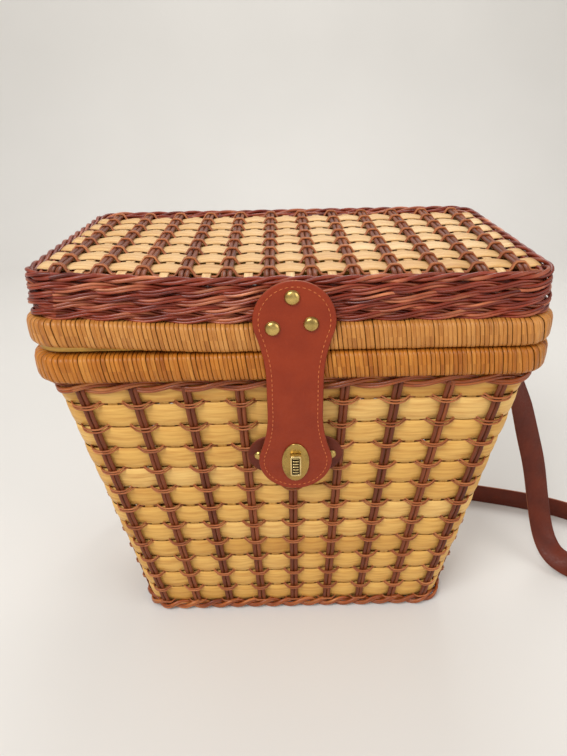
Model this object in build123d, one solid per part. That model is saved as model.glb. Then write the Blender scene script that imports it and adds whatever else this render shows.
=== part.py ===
from build123d import *
import os
from math import atan2, degrees, hypot, pi, sin, cos

os.makedirs("parts", exist_ok=True)

# A tapered wicker picnic basket with a hinged lid, a leather closure tab with a turn lock,
# and a leather shoulder strap. Millimetres. X runs to the right, Y to the back, Z up.
# The origin is on the floor, under the middle of the basket.

# Overall sizes
RIM_W = 418.0            # outside width over the wrapped rims
RIM_D = 264.0            # outside depth over the wrapped rims
BASE_H = 324.0           # floor to the top of the basket's own rim
LID_H = 60.0             # height of the lid, rim and lattice together
ROUND_STEPS = 12         # flat steps round a rivet or its hole
CORNER_STEPS = 4         # flat steps in each rounded corner
RIM_R = 32.0             # corner radius of the rims, seen from above

# Basket walls
RIM_PROUD = 14.0          # how far the rim stands out from the woven wall
FOOT_IN = 42.0           # how far the wall leans in from rim to foot, on every side
FOOT_R = 22.0            # corner radius of the wall at the foot
WALL_T = 3.0             # thickness of the woven wall between its bulges
ROW_COUNT = 12           # rows of flat splints in the wall
ROW_BULGE = 1.6          # how far each row bows out
FIRST_ROW_Z = 9.0        # lower edge of the lowest row

# Stakes of the walls, outer ones in pairs and inner ones flat
STAKES_LONG = 9          # outer stakes on the front and on the back
STAKES_SHORT = 5         # outer stakes on each end
STAKE_PITCH = 43.4       # spacing of the outer stakes at the top of a wall
STAKE_W = 8.0
STAKE_T = 3.0
RIB_W = 9.0
RIB_T = 1.5
CLEAR = 0.2              # gap between pieces that lie on each other

# Bottom lattice
SPLINT_T = 2.0
BOTTOM_REACH = 0.4       # bottom splints end this far inside the foot border
BOTTOM_SPLINTS = 6
BOTTOM_GAP = 3.0
BOTTOM_STAKE_T = 2.5

# Borders of twisted willow
FOOT_BORDER_H = 13.0
FOOT_BORDER_T = 5.5
TOP_BORDER_H = 13.0
TOP_BORDER_T = 4.0

# Wrapped rims: two hoops clamp the wall between them, and split cane binds all three
RIM_H = 26.5
RIM_T = 24.0
RIM_SKIN = 0.6           # how much deeper the room for the hoops starts than the wrap's least wall
RIM_FILLET = 5.0
WRAP_T = 1.3
HOOP_GAP = 0.1           # hoop to wrap, and hoop to wall
LIP_T = 2.0              # locating band inside the basket's rim
LIP_GAP = 0.6            # band to rim
LIP_UP = 6.0             # how far that band stands up into the lid
LIP_DOWN = 16.0
LID_GAP = 0.3            # lid rim over basket rim

# Lid
LID_WALL_T = 4.0
LID_ROWS = 6             # rows of twined rods round the lid's side
LID_ROW_BULGE = 2.0
LID_SIDE_IN = 4.0        # lid's woven side behind the rim's outer face
LID_COLUMNS = 12
LID_COLUMN_PITCH = 32.3
LID_COLUMN_W = 8.5
LID_COLUMN_T = 3.4
LID_SPLINTS = 7
LID_SPLINT_PITCH = 29.5
LID_SPLINT_W = 21.0
LID_WEAVER_W = 6.0
LID_RIB_W = 7.0
LID_EDGE_IN = 12.0        # lattice ends this far inside the rim's outer face
EDGE_H = 7.5
LID_EDGE_T = 6.0         # twisted willow along the lid's top edge

# Closure tab
LEATHER_T = 3.0
TAB_X = 2.0              # the tab hangs a little to the right of the middle
TAB_TOP_UP = 57.5        # top of the tab above the lid's lower edge
TAB_FLEX_UP = 5.0        # line where the tab bends, above the lid's lower edge
TAB_UPPER_R = 31.5       # round upper lobe
TAB_WAIST_W = 44.0
TAB_LOWER_R = 30.0       # round lower lobe
LOCK_DROP = 106.3         # lock centre below the lid's lower edge
TAB_BEND_DROP = 30.0     # where the tab turns in towards the wall, below that edge
TAB_REST_OUT = 0.4       # tab's inner face in front of the rims
TAB_LOW_OUT = 4.7        # and its lower end in front of the patch's seat
RIVET_HEAD_R = 6.0
RIVET_HEAD_H = 3.0
RIVET_SHANK_R = 1.8
WASHER_R = 5.0
WASHER_T = 0.9

# Turn lock
PLATE_W = 24.5
PLATE_H = 32.5
PLATE_T = 1.4
WINDOW_W = 8.8
WINDOW_H = 17.6
FRAME_W = 1.6
FRAME_T = 1.4
KNOB_W = 6.2
KNOB_H = 14.6
KNOB_T = 4.6
KNOB_SHAFT_R = 2.2
SHAFT_FIT = 0.05
CAM_W = 4.6
CAM_L = 12.0
CAM_T = 1.8
KEEPER_SLOT_W = 5.6
KEEPER_SLOT_H = 13.5
LOCK_BASE_W = 16.0
LOCK_BASE_H = 22.0
LOCK_BASE_T = 3.2
LOCK_LIP_T = 1.0         # thickness of the slotted front of the keeper

# Leather patch behind the lock
PATCH_W = 82.0
PATCH_H = 42.0
PATCH_T = 2.2
PATCH_RIVET_X = 31.5
PATCH_RIVET_R = 4.4
PATCH_RIVET_H = 2.2

# Leather hinges at the back
HINGE_X = 115.0
HINGE_W = 32.0
HINGE_LEAF_H = 26.0
HINGE_T = 2.4
HINGE_RIVET_X = 8.0
HINGE_RIVET_R = 4.4
HINGE_RIVET_H = 2.2
HINGE_RIVET_UP = 13.0    # rivets above or below the hinge line

# Shoulder strap
STRAP_W = 25.0
STRAP_T = 3.0
STRAP_ON_EDGE = 12.8     # centre of the strap above the floor where it stands on its edge
ANCHOR_DROP = 58.0       # anchor rivet below the basket's upper edge
ANCHOR_Y = 10.5          # between the middle stake and the rib beside it
ANCHOR_RIVET_R = 6.0

# Worked out from the sizes above
WALL_TOP_Z = BASE_H - RIM_H
TOP_HALF_X = RIM_W / 2 - RIM_PROUD
TOP_HALF_Y = RIM_D / 2 - RIM_PROUD
TOP_R = RIM_R - RIM_PROUD
LID_Z = BASE_H + LID_GAP
LID_TOP = BASE_H + LID_H
BOTTOM_Z = FIRST_ROW_Z - SPLINT_T - CLEAR


def save(name, *solids):
    shape = solids[0] if len(solids) == 1 else Compound(children=list(solids))
    shape.label = name
    export_step(shape, "parts/" + name + ".step")


def wall_half(z):
    """Half sizes and corner radius of the wall's outer face at height z, without bulges."""
    lean = FOOT_IN * max(0.0, min(1.0, (WALL_TOP_Z - z) / WALL_TOP_Z))
    share = lean / FOOT_IN
    return TOP_HALF_X - lean, TOP_HALF_Y - lean, TOP_R + (FOOT_R - TOP_R) * share


def arc_points(radius, start):
    """Points on a quarter of a circle, from the angle start on."""
    turns = [(start + 90 * i / CORNER_STEPS) * pi / 180 for i in range(CORNER_STEPS + 1)]
    return [(radius * cos(turn), radius * sin(turn)) for turn in turns]


def outline(half_x, half_y, radius, z):
    """A rectangle with rounded corners at height z, as a face. The corners turn in flat steps."""
    points = []
    for start, sx, sy in ((0, 1, 1), (90, -1, 1), (180, -1, -1), (270, 1, -1)):
        middle_x, middle_y = sx * (half_x - radius), sy * (half_y - radius)
        points += [(middle_x + x, middle_y + y) for x, y in arc_points(radius, start)]
    return Pos(0, 0, z) * make_face(Polyline(*points, close=True))


def stack(levels):
    """A solid through rounded rectangles, given as (z, half_x, half_y, radius) levels."""
    return loft([outline(x, y, r, z) for z, x, y, r in levels], ruled=True)


def band(outer, inner):
    """A closed band between two stacks of levels that end at the same heights."""
    return stack(outer) - stack(inner)


def grown(level, out):
    """A level moved outwards by out, or inwards where out is negative."""
    z, half_x, half_y, radius = level
    return z, half_x + out, half_y + out, max(radius + out, 1.0)


def row_levels(z_low, z_high, count, bulge):
    """Heights and outward bow of the edges and crests of a stack of rows."""
    pitch = (z_high - z_low) / count
    levels = []
    for row in range(count):
        levels.append((z_low + row * pitch, 0.0))
        levels.append((z_low + (row + 0.5) * pitch, bulge))
    levels.append((z_high, 0.0))
    return levels


def rect_at(x0, x1, y0, y1, z):
    return Pos((x0 + x1) / 2, (y0 + y1) / 2, z) * Rectangle(x1 - x0, y1 - y0)


def peg(radius, length):
    """A thin round pin along Z, centred on the origin, with its skin in flat steps."""
    return extrude(RegularPolygon(radius, ROUND_STEPS), amount=length / 2, both=True)


def domed_rivet(head_r, head_h, shank_r, shank_len, washer_r, washer_t):
    """A rivet along +Z: its head stands on z = 0, its shank and washer go down from there."""
    dome = [(0.0, 1.0), (0.65, 0.8), (1.0, 0.35)]
    rings = [Pos(0, 0, head_h * rise) * RegularPolygon(head_r * wide, ROUND_STEPS) for rise, wide in dome]
    head = loft(rings, ruled=True)
    shank = Pos(0, 0, -shank_len / 2) * peg(shank_r, shank_len)
    washer = Pos(0, 0, -shank_len + washer_t / 2) * peg(washer_r, washer_t)
    return head + shank + washer


def facing(x, y, z, normal):
    """Places a rivet so that its head points along normal, +Y or -Y or +X or -X."""
    return Plane(origin=(x, y, z), z_dir=normal).location


def drill(shape, x, y, z, normal, radius, deep):
    """A hole through shape, centred on the point and running along normal."""
    return shape - facing(x, y, z, normal) * peg(radius, deep)


# The woven wall, a panel on each side and a quarter turn at each corner
wall_levels = [(z, out) for z, out in row_levels(FIRST_ROW_Z, WALL_TOP_Z, ROW_COUNT, ROW_BULGE)]
wall_levels.append((BASE_H - RIM_H / 2 - 1.0, 0.0))


def wall_side(direction, along_x):
    """The panel of one side: direction is -1 for front and left, 1 for back and right."""
    sections = []
    for z, out in wall_levels:
        half_x, half_y, radius = wall_half(z)
        reach, across = (half_x - radius, half_y) if along_x else (half_y - radius, half_x)
        near, far = sorted((direction * (across + out), direction * (across - WALL_T)))
        if along_x:
            sections.append(rect_at(-reach, reach, near, far, z))
        else:
            sections.append(rect_at(near, far, -reach, reach, z))
    return loft(sections, ruled=True)


def wall_corner(sx, sy):
    """The quarter turn at one corner, cut from a bowed outside and a plain inside."""
    spin = Rot(0, 0, {(1, 1): 0, (-1, 1): 90, (-1, -1): 180, (1, -1): 270}[(sx, sy)])

    def quarter(z, out):
        half_x, half_y, radius = wall_half(z)
        pie = make_face(Polyline((0, 0), *arc_points(radius + out, 0), close=True))
        return (Pos(sx * (half_x - radius), sy * (half_y - radius), z) * spin * pie).face()

    outside = loft([quarter(z, out) for z, out in wall_levels], ruled=True)
    plain_z = (wall_levels[0][0], WALL_TOP_Z, wall_levels[-1][0])
    return outside - loft([quarter(z, -WALL_T) for z in plain_z], ruled=True)


front_wall = wall_side(-1, True)
back_wall = wall_side(1, True)
left_wall = wall_side(-1, False)
right_wall = wall_side(1, False)
corner_walls = [wall_corner(sx, sy) for sx in (-1, 1) for sy in (-1, 1)]


# Outer stakes in pairs of half-round rods, and flat inner ribs between them
def stake_section(width, thick):
    """Two half-round rods side by side on the line y = 0, standing out towards -Y."""
    rod = [(1.0, 0.0), (0.88, 0.7), (0.5, 1.0), (0.14, 0.8), (0.0, 0.35)]
    left = [(-x * width / 2, -y * thick) for x, y in rod]
    right = [(-x, y) for x, y in reversed(left[:-1])]
    return make_face(Polyline(*left, *right, close=True))


STAKE_LOW_Z = FOOT_BORDER_H + CLEAR
STAKE_HIGH_Z = WALL_TOP_Z - TOP_BORDER_H - CLEAR
turn_of_side = {"front": 0, "right": 90, "back": 180, "left": 270}


def side_place(side, shift, out, z):
    """A point on the wall of a side: shift along it, out from its face, at height z."""
    half_x, half_y, radius = wall_half(z)
    across = half_y if side in ("front", "back") else half_x
    return Rot(0, 0, turn_of_side[side]) * Pos(shift, -(across + out), z)


def upright(side, number, count, low, high, out, section):
    """A bar of one section that follows the lean of a wall from height low to height high."""
    ends = []
    for z in (low, high):
        half_x, half_y, radius = wall_half(z)
        wide, top = (half_x, TOP_HALF_X) if side in ("front", "back") else (half_y, TOP_HALF_Y)
        shift = (number - (count - 1) / 2) * STAKE_PITCH * wide / top
        ends.append(side_place(side, shift, out, z))
    rise = ends[1].position - ends[0].position
    return extrude((ends[0] * section).face(), amount=rise.length, dir=rise.normalized())


def stake_at(side, number, count):
    section = stake_section(STAKE_W, STAKE_T)
    return upright(side, number, count, STAKE_LOW_Z, STAKE_HIGH_Z, ROW_BULGE + CLEAR, section)


def rib_at(side, number, count):
    middle = -WALL_T - CLEAR - RIB_T / 2
    section = Rectangle(RIB_W, RIB_T)
    return upright(side, number, count, FOOT_BORDER_H, WALL_TOP_Z - CLEAR, middle, section)


side_counts = {"front": STAKES_LONG, "back": STAKES_LONG, "left": STAKES_SHORT, "right": STAKES_SHORT}
stakes = {side: [stake_at(side, i, n) for i in range(n)] for side, n in side_counts.items()}
ribs = {side: [rib_at(side, i, n - 1) for i in range(n - 1)] for side, n in side_counts.items()}

# Bottom lattice
foot_x, foot_y, foot_r = wall_half(BOTTOM_Z)
bottom_out = ROW_BULGE + CLEAR - BOTTOM_REACH
inner_x = foot_x + bottom_out
inner_y = foot_y + bottom_out
bottom_pitch = 2 * inner_y / BOTTOM_SPLINTS
bottom_outline = outline(inner_x, inner_y, foot_r + bottom_out, BOTTOM_Z + SPLINT_T / 2)
bottom_room = extrude(bottom_outline, amount=SPLINT_T / 2, both=True)
bottom_splints = []
for i in range(BOTTOM_SPLINTS):
    y = -inner_y + (i + 0.5) * bottom_pitch
    bar = Pos(0, y, BOTTOM_Z + SPLINT_T / 2) * Box(2 * inner_x, bottom_pitch - BOTTOM_GAP, SPLINT_T)
    bottom_splints.append(bar & bottom_room)
stake_z = BOTTOM_Z - CLEAR / 2 - BOTTOM_STAKE_T / 2
stake_room = extrude(outline(inner_x - 1.0, inner_y - 1.0, foot_r, stake_z), amount=SPLINT_T, both=True)
bottom_stakes = []
for i in range(STAKES_LONG):
    x = (i - (STAKES_LONG - 1) / 2) * STAKE_PITCH * foot_x / TOP_HALF_X
    bottom_stakes.append(stake_room & Pos(x, 0, stake_z) * Box(STAKE_W, 2 * inner_y, BOTTOM_STAKE_T))

# Twisted willow borders at the foot and under the rim
def border(z_low, height, swells):
    """A twisted border round the outside of the wall, through (share of height, thickness) pairs."""
    levels = [(z_low + share * height, *wall_half(z_low + share * height)) for share, out in swells]
    seat = ROW_BULGE + CLEAR
    outer = [grown(level, seat + out) for level, (share, out) in zip(levels, swells)]
    return band(outer, [grown(levels[0], seat), grown(levels[-1], seat)])


FOOT_SWELLS = ((0.0, 3.2), (0.25, FOOT_BORDER_T), (0.5, 4.2), (0.75, FOOT_BORDER_T), (1.0, 3.0))
TOP_SWELLS = ((0.0, 2.0), (0.25, TOP_BORDER_T), (0.5, 2.6), (0.75, TOP_BORDER_T), (1.0, 2.0))
foot_border = border(0.0, FOOT_BORDER_H, FOOT_SWELLS)
top_border = border(WALL_TOP_Z - TOP_BORDER_H - CLEAR, TOP_BORDER_H, TOP_SWELLS)


# Wrapped rims
def rim_level(z, inside):
    """The rim's outside outline at height z, moved in by inside."""
    return grown((z, RIM_W / 2, RIM_D / 2, RIM_R), -inside)


def rim_band(outer_in, inner_in, low, high):
    """A plain band that follows the rim, between two distances from its outside."""
    outer = [rim_level(low, outer_in), rim_level(high, outer_in)]
    return band(outer, [rim_level(low, inner_in), rim_level(high, inner_in)])


def rim_pieces(z_low, slot_up):
    """Wrap and two hoops of one rim. The wall enters from above if slot_up, else from below."""
    round_off = [(0.0, 1.0), (0.3, 0.35), (1.0, 0.0)]
    ease = [(z_low + RIM_FILLET * rise, RIM_FILLET * inset) for rise, inset in round_off]
    ease += [(z_low + RIM_H - RIM_FILLET * rise, RIM_FILLET * inset) for rise, inset in reversed(round_off)]
    outer = [rim_level(z, inset) for z, inset in ease]
    inner = [rim_level(z, RIM_T - inset) for z, inset in ease]
    block = band(outer, inner)
    wall_t = LID_WALL_T if slot_up else WALL_T
    skin = WRAP_T + RIM_SKIN
    room = rim_band(skin, RIM_T - skin, z_low + skin, z_low + RIM_H - skin)
    z_mid = z_low + RIM_H / 2
    slot_low = z_mid if slot_up else z_low - 1
    slot_high = z_low + RIM_H + 1 if slot_up else z_mid
    slot = rim_band(RIM_PROUD - CLEAR, RIM_PROUD + wall_t + CLEAR, slot_low, slot_high)
    wrap = block - room - slot
    inset = skin + HOOP_GAP
    low, high = z_low + inset, z_low + RIM_H - inset
    outer_hoop = rim_band(inset, RIM_PROUD - CLEAR, low, high)
    inner_hoop = rim_band(RIM_PROUD + wall_t + CLEAR, RIM_T - inset, low, high)
    return wrap, outer_hoop, inner_hoop


base_wrap, base_hoop_outer, base_hoop_inner = rim_pieces(BASE_H - RIM_H, False)
lid_wrap, lid_hoop_outer, lid_hoop_inner = rim_pieces(LID_Z, True)

# Locating band inside the basket's rim
lip_out = RIM_T + LIP_GAP
locating_lip = rim_band(lip_out, lip_out + LIP_T, BASE_H - LIP_DOWN, BASE_H + LIP_UP)

# Lid side: six rows of twined rods over a thin wall that goes down into the rim
lid_side_low = LID_Z + RIM_H + CLEAR
lid_side_high = LID_TOP - LID_COLUMN_T - LID_EDGE_T
lid_low = LID_Z + RIM_H / 2 + 1.0
lid_outer = [rim_level(lid_low, RIM_PROUD), rim_level(lid_side_low - 0.01, RIM_PROUD)]
for z, out in row_levels(lid_side_low, lid_side_high, LID_ROWS, LID_ROW_BULGE):
    lid_outer.append(rim_level(z, LID_SIDE_IN + LID_ROW_BULGE - out))
lid_in = RIM_PROUD + LID_WALL_T
lid_side = band(lid_outer, [rim_level(lid_low, lid_in), rim_level(lid_side_high, lid_in)])

# Lid top: splints along X, weavers between them, columns of rods over them, ribs below
lattice_z = lid_side_high + CLEAR
lattice_x = RIM_W / 2 - LID_EDGE_IN
lattice_y = RIM_D / 2 - LID_EDGE_IN
lattice_outline = outline(lattice_x, lattice_y, RIM_R - LID_EDGE_IN, lattice_z)
lattice_room = extrude(lattice_outline, amount=LID_EDGE_T + LID_COLUMN_T)
splint_z = lattice_z + 1.6
lid_splints = []
for i in range(LID_SPLINTS):
    y = (i - (LID_SPLINTS - 1) / 2) * LID_SPLINT_PITCH
    bar = Pos(0, y, splint_z + SPLINT_T / 2) * Box(2 * lattice_x, LID_SPLINT_W, SPLINT_T)
    lid_splints.append(bar & lattice_room)
lid_weavers = []
weaver_points = [(-0.5, 0), (-0.35, 0.5), (0.35, 0.5), (0.5, 0), (0.35, -0.5), (-0.35, -0.5)]
weaver_line = [(y * LID_WEAVER_W, z * SPLINT_T) for y, z in weaver_points]
weaver_section = Plane.YZ * make_face(Polyline(*weaver_line, close=True))
for i in range(LID_SPLINTS + 1):
    y = (i - LID_SPLINTS / 2) * LID_SPLINT_PITCH
    bar = Pos(0, y, splint_z + SPLINT_T / 2) * extrude(weaver_section, amount=lattice_x, both=True)
    lid_weavers.append(bar & lattice_room)
lid_columns = []
column_z = splint_z + SPLINT_T + CLEAR
for i in range(LID_COLUMNS):
    x = (i - (LID_COLUMNS - 1) / 2) * LID_COLUMN_PITCH
    section = Plane.XZ * (Rot(0, 0, 180) * stake_section(LID_COLUMN_W, LID_COLUMN_T))
    bar = Pos(x, 0, column_z) * extrude(section, amount=lattice_y, both=True)
    lid_columns.append(bar & lattice_room)
lid_ribs = []
for i in range(LID_COLUMNS - 1):
    x = (i - (LID_COLUMNS - 2) / 2) * LID_COLUMN_PITCH
    z = splint_z - CLEAR - 0.7
    bar = Pos(x, 0, z) * Box(LID_RIB_W, 2 * lattice_y, 1.2)
    lid_ribs.append(bar & lattice_room)
edge_low = (lattice_z, lattice_x + CLEAR, lattice_y + CLEAR, RIM_R - LID_EDGE_IN + CLEAR)
edge_outer = []
for share, out in ((0.0, 2.5), (0.35, 5.5), (0.7, 4.7), (1.0, 2.5)):
    edge_outer.append(grown((lattice_z + share * EDGE_H, *edge_low[1:]), out))
lid_edge = band(edge_outer, [edge_low, (lattice_z + EDGE_H, *edge_low[1:])])

# Closure tab: one strip of leather that is riveted to the lid and hangs over the lock
tab_inner_y = -(RIM_D / 2 + TAB_REST_OUT)
tab_outer_y = tab_inner_y - LEATHER_T
flex_z = LID_Z + TAB_FLEX_UP
tab_top_z = LID_Z + TAB_TOP_UP
lock_z = LID_Z - LOCK_DROP
bend_z = LID_Z - TAB_BEND_DROP


def wall_face_y(z):
    """The front of the outer stakes at height z."""
    return -(wall_half(z)[1] + ROW_BULGE + CLEAR + STAKE_T)


patch_lean = degrees(atan2(FOOT_IN, WALL_TOP_Z))
lock_wall_y = wall_face_y(lock_z) - CLEAR
patch_dir = (0, -cos(patch_lean * pi / 180), -sin(patch_lean * pi / 180))
lock_plane = Plane(origin=(TAB_X, lock_wall_y, lock_z), x_dir=(1, 0, 0), z_dir=patch_dir)
tab_low_y = lock_wall_y - TAB_LOW_OUT
tab_low_z = lock_z - TAB_LOWER_R - 4.0


def tab_outline():
    """Keyhole outline in X and Z: a round upper lobe, a waist and a round lower lobe."""
    upper = Pos(0, tab_top_z - TAB_UPPER_R) * Circle(TAB_UPPER_R)
    lower = Pos(0, lock_z) * Circle(TAB_LOWER_R)
    waist_top = tab_top_z - TAB_UPPER_R
    body = Pos(0, (waist_top + lock_z) / 2) * Rectangle(TAB_WAIST_W, waist_top - lock_z)
    neck = upper + lower + body
    corners = [v for v in neck.vertices() if lock_z < v.Y < waist_top]
    return fillet(corners, 38.0)


def tab_sheet(skin_from, skin_to):
    """The tab's sheet seen from the side, as a band between two distances from its inner face."""
    points = [(tab_inner_y, tab_top_z + 5), (tab_inner_y, bend_z), (tab_low_y, tab_low_z - 5)]
    return trace_band(points, skin_from, skin_to)


def trace_band(points, near, far):
    """A band beside a bent line: the line moved towards -Y by near and by far."""
    (y0, z0), (y1, z1), (y2, z2) = points
    length = hypot(y2 - y1, z2 - z1)
    ny, nz = (z2 - z1) / length, -(y2 - y1) / length
    inner = [(y0 - near, z0), (y1 - near, z1), (y2 + ny * near, z2 + nz * near)]
    outer = [(y2 + ny * far, z2 + nz * far), (y1 - far, z1), (y0 - far, z0)]
    face = Plane.YZ * make_face(Polyline(*inner, *outer, close=True))
    return extrude(face, amount=100, both=True)


tab_solid_outline = extrude(Plane.XZ * tab_outline(), amount=200, both=True)
tab_full = Pos(TAB_X, 0, 0) * (tab_solid_outline & tab_sheet(0.0, LEATHER_T))
above = Pos(0, 0, flex_z + 100.0) * Box(600, 600, 200)
below = Pos(0, 0, flex_z - 150.0 - CLEAR / 2) * Box(600, 600, 300)
tab_root = tab_full & above
tab_flap = tab_full & below

# The lock: a slotted keeper on the patch, an oval plate on the tab and a knob that turns in it,
# with a cam bar behind the tab that goes into the keeper
patch_place = lock_plane.location
patch = patch_place * extrude(SlotOverall(PATCH_W, PATCH_H), amount=PATCH_T)
patch_rivets = []
patch_reach = PATCH_T + CLEAR + STAKE_T + CLEAR + ROW_BULGE + WALL_T + WASHER_T + 0.15
for side in (-1, 1):
    rivet = domed_rivet(PATCH_RIVET_R, PATCH_RIVET_H, RIVET_SHANK_R, patch_reach, WASHER_R, WASHER_T)
    patch_rivets.append(patch_place * Pos(side * PATCH_RIVET_X, 0, PATCH_T + 0.05) * rivet)
    patch -= patch_place * Pos(side * PATCH_RIVET_X, 0, PATCH_T / 2) * peg(RIVET_SHANK_R + 0.1, 3 * PATCH_T)
    front_wall -= patch_place * Pos(side * PATCH_RIVET_X, 0, 0) * peg(RIVET_SHANK_R + 0.1, 40)
    notch = patch_place * Pos(side * PATCH_RIVET_X, 0, 0) * peg(WASHER_R + 0.3, 40)
    ribs["front"] = [rib - notch for rib in ribs["front"]]
lock_base = patch_place * Pos(0, 0, PATCH_T + 0.05) * extrude(
    Ellipse(LOCK_BASE_W / 2, LOCK_BASE_H / 2) - Rectangle(KEEPER_SLOT_W, KEEPER_SLOT_H), amount=LOCK_BASE_T)
keeper_room = extrude(Circle(KEEPER_SLOT_H / 2), amount=LOCK_BASE_T - LOCK_LIP_T)
lock_base -= patch_place * Pos(0, 0, PATCH_T + 0.05) * keeper_room

# The tab's lower stretch leans in; the lock's own plane lies on its inner face
lean_len = hypot(tab_low_y - tab_inner_y, tab_low_z - 5 - bend_z)
sheet_dir = Vector(0, (tab_low_z - 5 - bend_z) / lean_len, -(tab_low_y - tab_inner_y) / lean_len)
share = (bend_z - lock_z) / (bend_z - (tab_low_z - 5))
sheet_point = Vector(TAB_X, tab_inner_y + (tab_low_y - tab_inner_y) * share, lock_z)
sheet_place = Plane(origin=sheet_point, x_dir=(1, 0, 0), z_dir=sheet_dir).location
print("turn lock at", sheet_point, "along", sheet_dir)
tab_flap -= sheet_place * Cylinder(KNOB_SHAFT_R + 0.4, 4 * LEATHER_T)
plate_z = LEATHER_T + 0.05
plate = sheet_place * Pos(0, 0, plate_z) * extrude(Ellipse(PLATE_W / 2, PLATE_H / 2), amount=PLATE_T)
window = RectangleRounded(WINDOW_W, WINDOW_H, 1.5)
frame_outline = RectangleRounded(WINDOW_W + 2 * FRAME_W, WINDOW_H + 2 * FRAME_W, 2.5) - window
plate += sheet_place * Pos(0, 0, plate_z + PLATE_T - 0.1) * extrude(frame_outline, amount=FRAME_T)
plate -= sheet_place * Cylinder(KNOB_SHAFT_R + SHAFT_FIT, 40)
head_z = plate_z + PLATE_T + FRAME_T + 0.3
knob_head = extrude(RectangleRounded(KNOB_W, KNOB_H, 2.2), amount=KNOB_T)
for i in range(-2, 3):
    knob_head -= Pos(0, i * 2.3, KNOB_T) * Rot(0, 90, 0) * Cylinder(0.5, KNOB_W * 2)
cam_z = -CAM_T - 0.3
knob_shaft = extrude(Circle(KNOB_SHAFT_R), amount=head_z - cam_z + 0.2)
knob = Pos(0, 0, head_z) * knob_head + Pos(0, 0, cam_z) * knob_shaft
knob += Pos(0, 0, cam_z) * extrude(RectangleRounded(CAM_W, CAM_L, 1.0), amount=CAM_T)
knob = sheet_place * knob

# Rivets of the tab, through the leather and the lid's side
tab_rivet_spots = [(-1.5, -12.5, RIM_PROUD + LID_WALL_T), (-16.5, -36.5, RIM_T), (12.5, -33.5, RIM_T)]
tab_rivets = []
for dx, dz, through in tab_rivet_spots:
    x, z = TAB_X + dx, tab_top_z + dz
    rivet_reach = LEATHER_T + TAB_REST_OUT + through + WASHER_T + 0.15
    rivet = domed_rivet(RIVET_HEAD_R, RIVET_HEAD_H, RIVET_SHANK_R, rivet_reach, WASHER_R, WASHER_T)
    tab_rivets.append(facing(x, tab_outer_y - 0.05, z, (0, -1, 0)) * rivet)
    tab_root = drill(tab_root, x, tab_outer_y, z, (0, -1, 0), RIVET_SHANK_R + 0.1, 30)
    lid_side = drill(lid_side, x, tab_outer_y + 20, z, (0, -1, 0), RIVET_SHANK_R + 0.1, 50)
    lid_wrap = drill(lid_wrap, x, tab_outer_y + 20, z, (0, -1, 0), RIVET_SHANK_R + 0.1, 50)
    lid_hoop_outer = drill(lid_hoop_outer, x, tab_outer_y + 20, z, (0, -1, 0), RIVET_SHANK_R + 0.1, 50)
    lid_hoop_inner = drill(lid_hoop_inner, x, tab_outer_y + 20, z, (0, -1, 0), RIVET_SHANK_R + 0.1, 50)

# Leather hinges: a leaf on the lid and a leaf on the basket, riveted to the rims
hinge_y = RIM_D / 2 + CLEAR
hinge_z = BASE_H + LID_GAP / 2
hinge_reach = HINGE_T + CLEAR + RIM_T + WASHER_T + 0.15
upper_leaves, lower_leaves, upper_rivets, lower_rivets = [], [], [], []
for side in (-1, 1):
    for way in (-1, 1):
        z = hinge_z + way * (HINGE_LEAF_H / 2 + 0.15)
        leaf = Pos(side * HINGE_X, hinge_y + HINGE_T / 2, z) * Box(HINGE_W, HINGE_T, HINGE_LEAF_H)
        for rx in (-1, 1):
            x = side * HINGE_X + rx * HINGE_RIVET_X
            rz = hinge_z + way * HINGE_RIVET_UP
            leaf = drill(leaf, x, hinge_y, rz, (0, 1, 0), RIVET_SHANK_R + 0.1, 20)
            rivet = domed_rivet(HINGE_RIVET_R, HINGE_RIVET_H, RIVET_SHANK_R, hinge_reach, WASHER_R, WASHER_T)
            rivet = facing(x, hinge_y + HINGE_T + 0.05, rz, (0, 1, 0)) * rivet
            hole = facing(x, hinge_y - 10, rz, (0, 1, 0)) * peg(RIVET_SHANK_R + 0.1, 40)
            pocket = facing(x, hinge_y - RIM_T, rz, (0, 1, 0)) * peg(WASHER_R + 0.3, 8.0)
            if way > 0:
                upper_rivets.append(rivet)
                lid_wrap -= hole
                lid_side -= hole
                lid_hoop_outer -= hole
                lid_hoop_inner -= hole
            else:
                lower_rivets.append(rivet)
                base_wrap -= hole
                back_wall -= hole
                base_hoop_outer -= hole
                base_hoop_inner -= hole
                locating_lip -= pocket
        (upper_leaves if way > 0 else lower_leaves).append(leaf)

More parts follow.
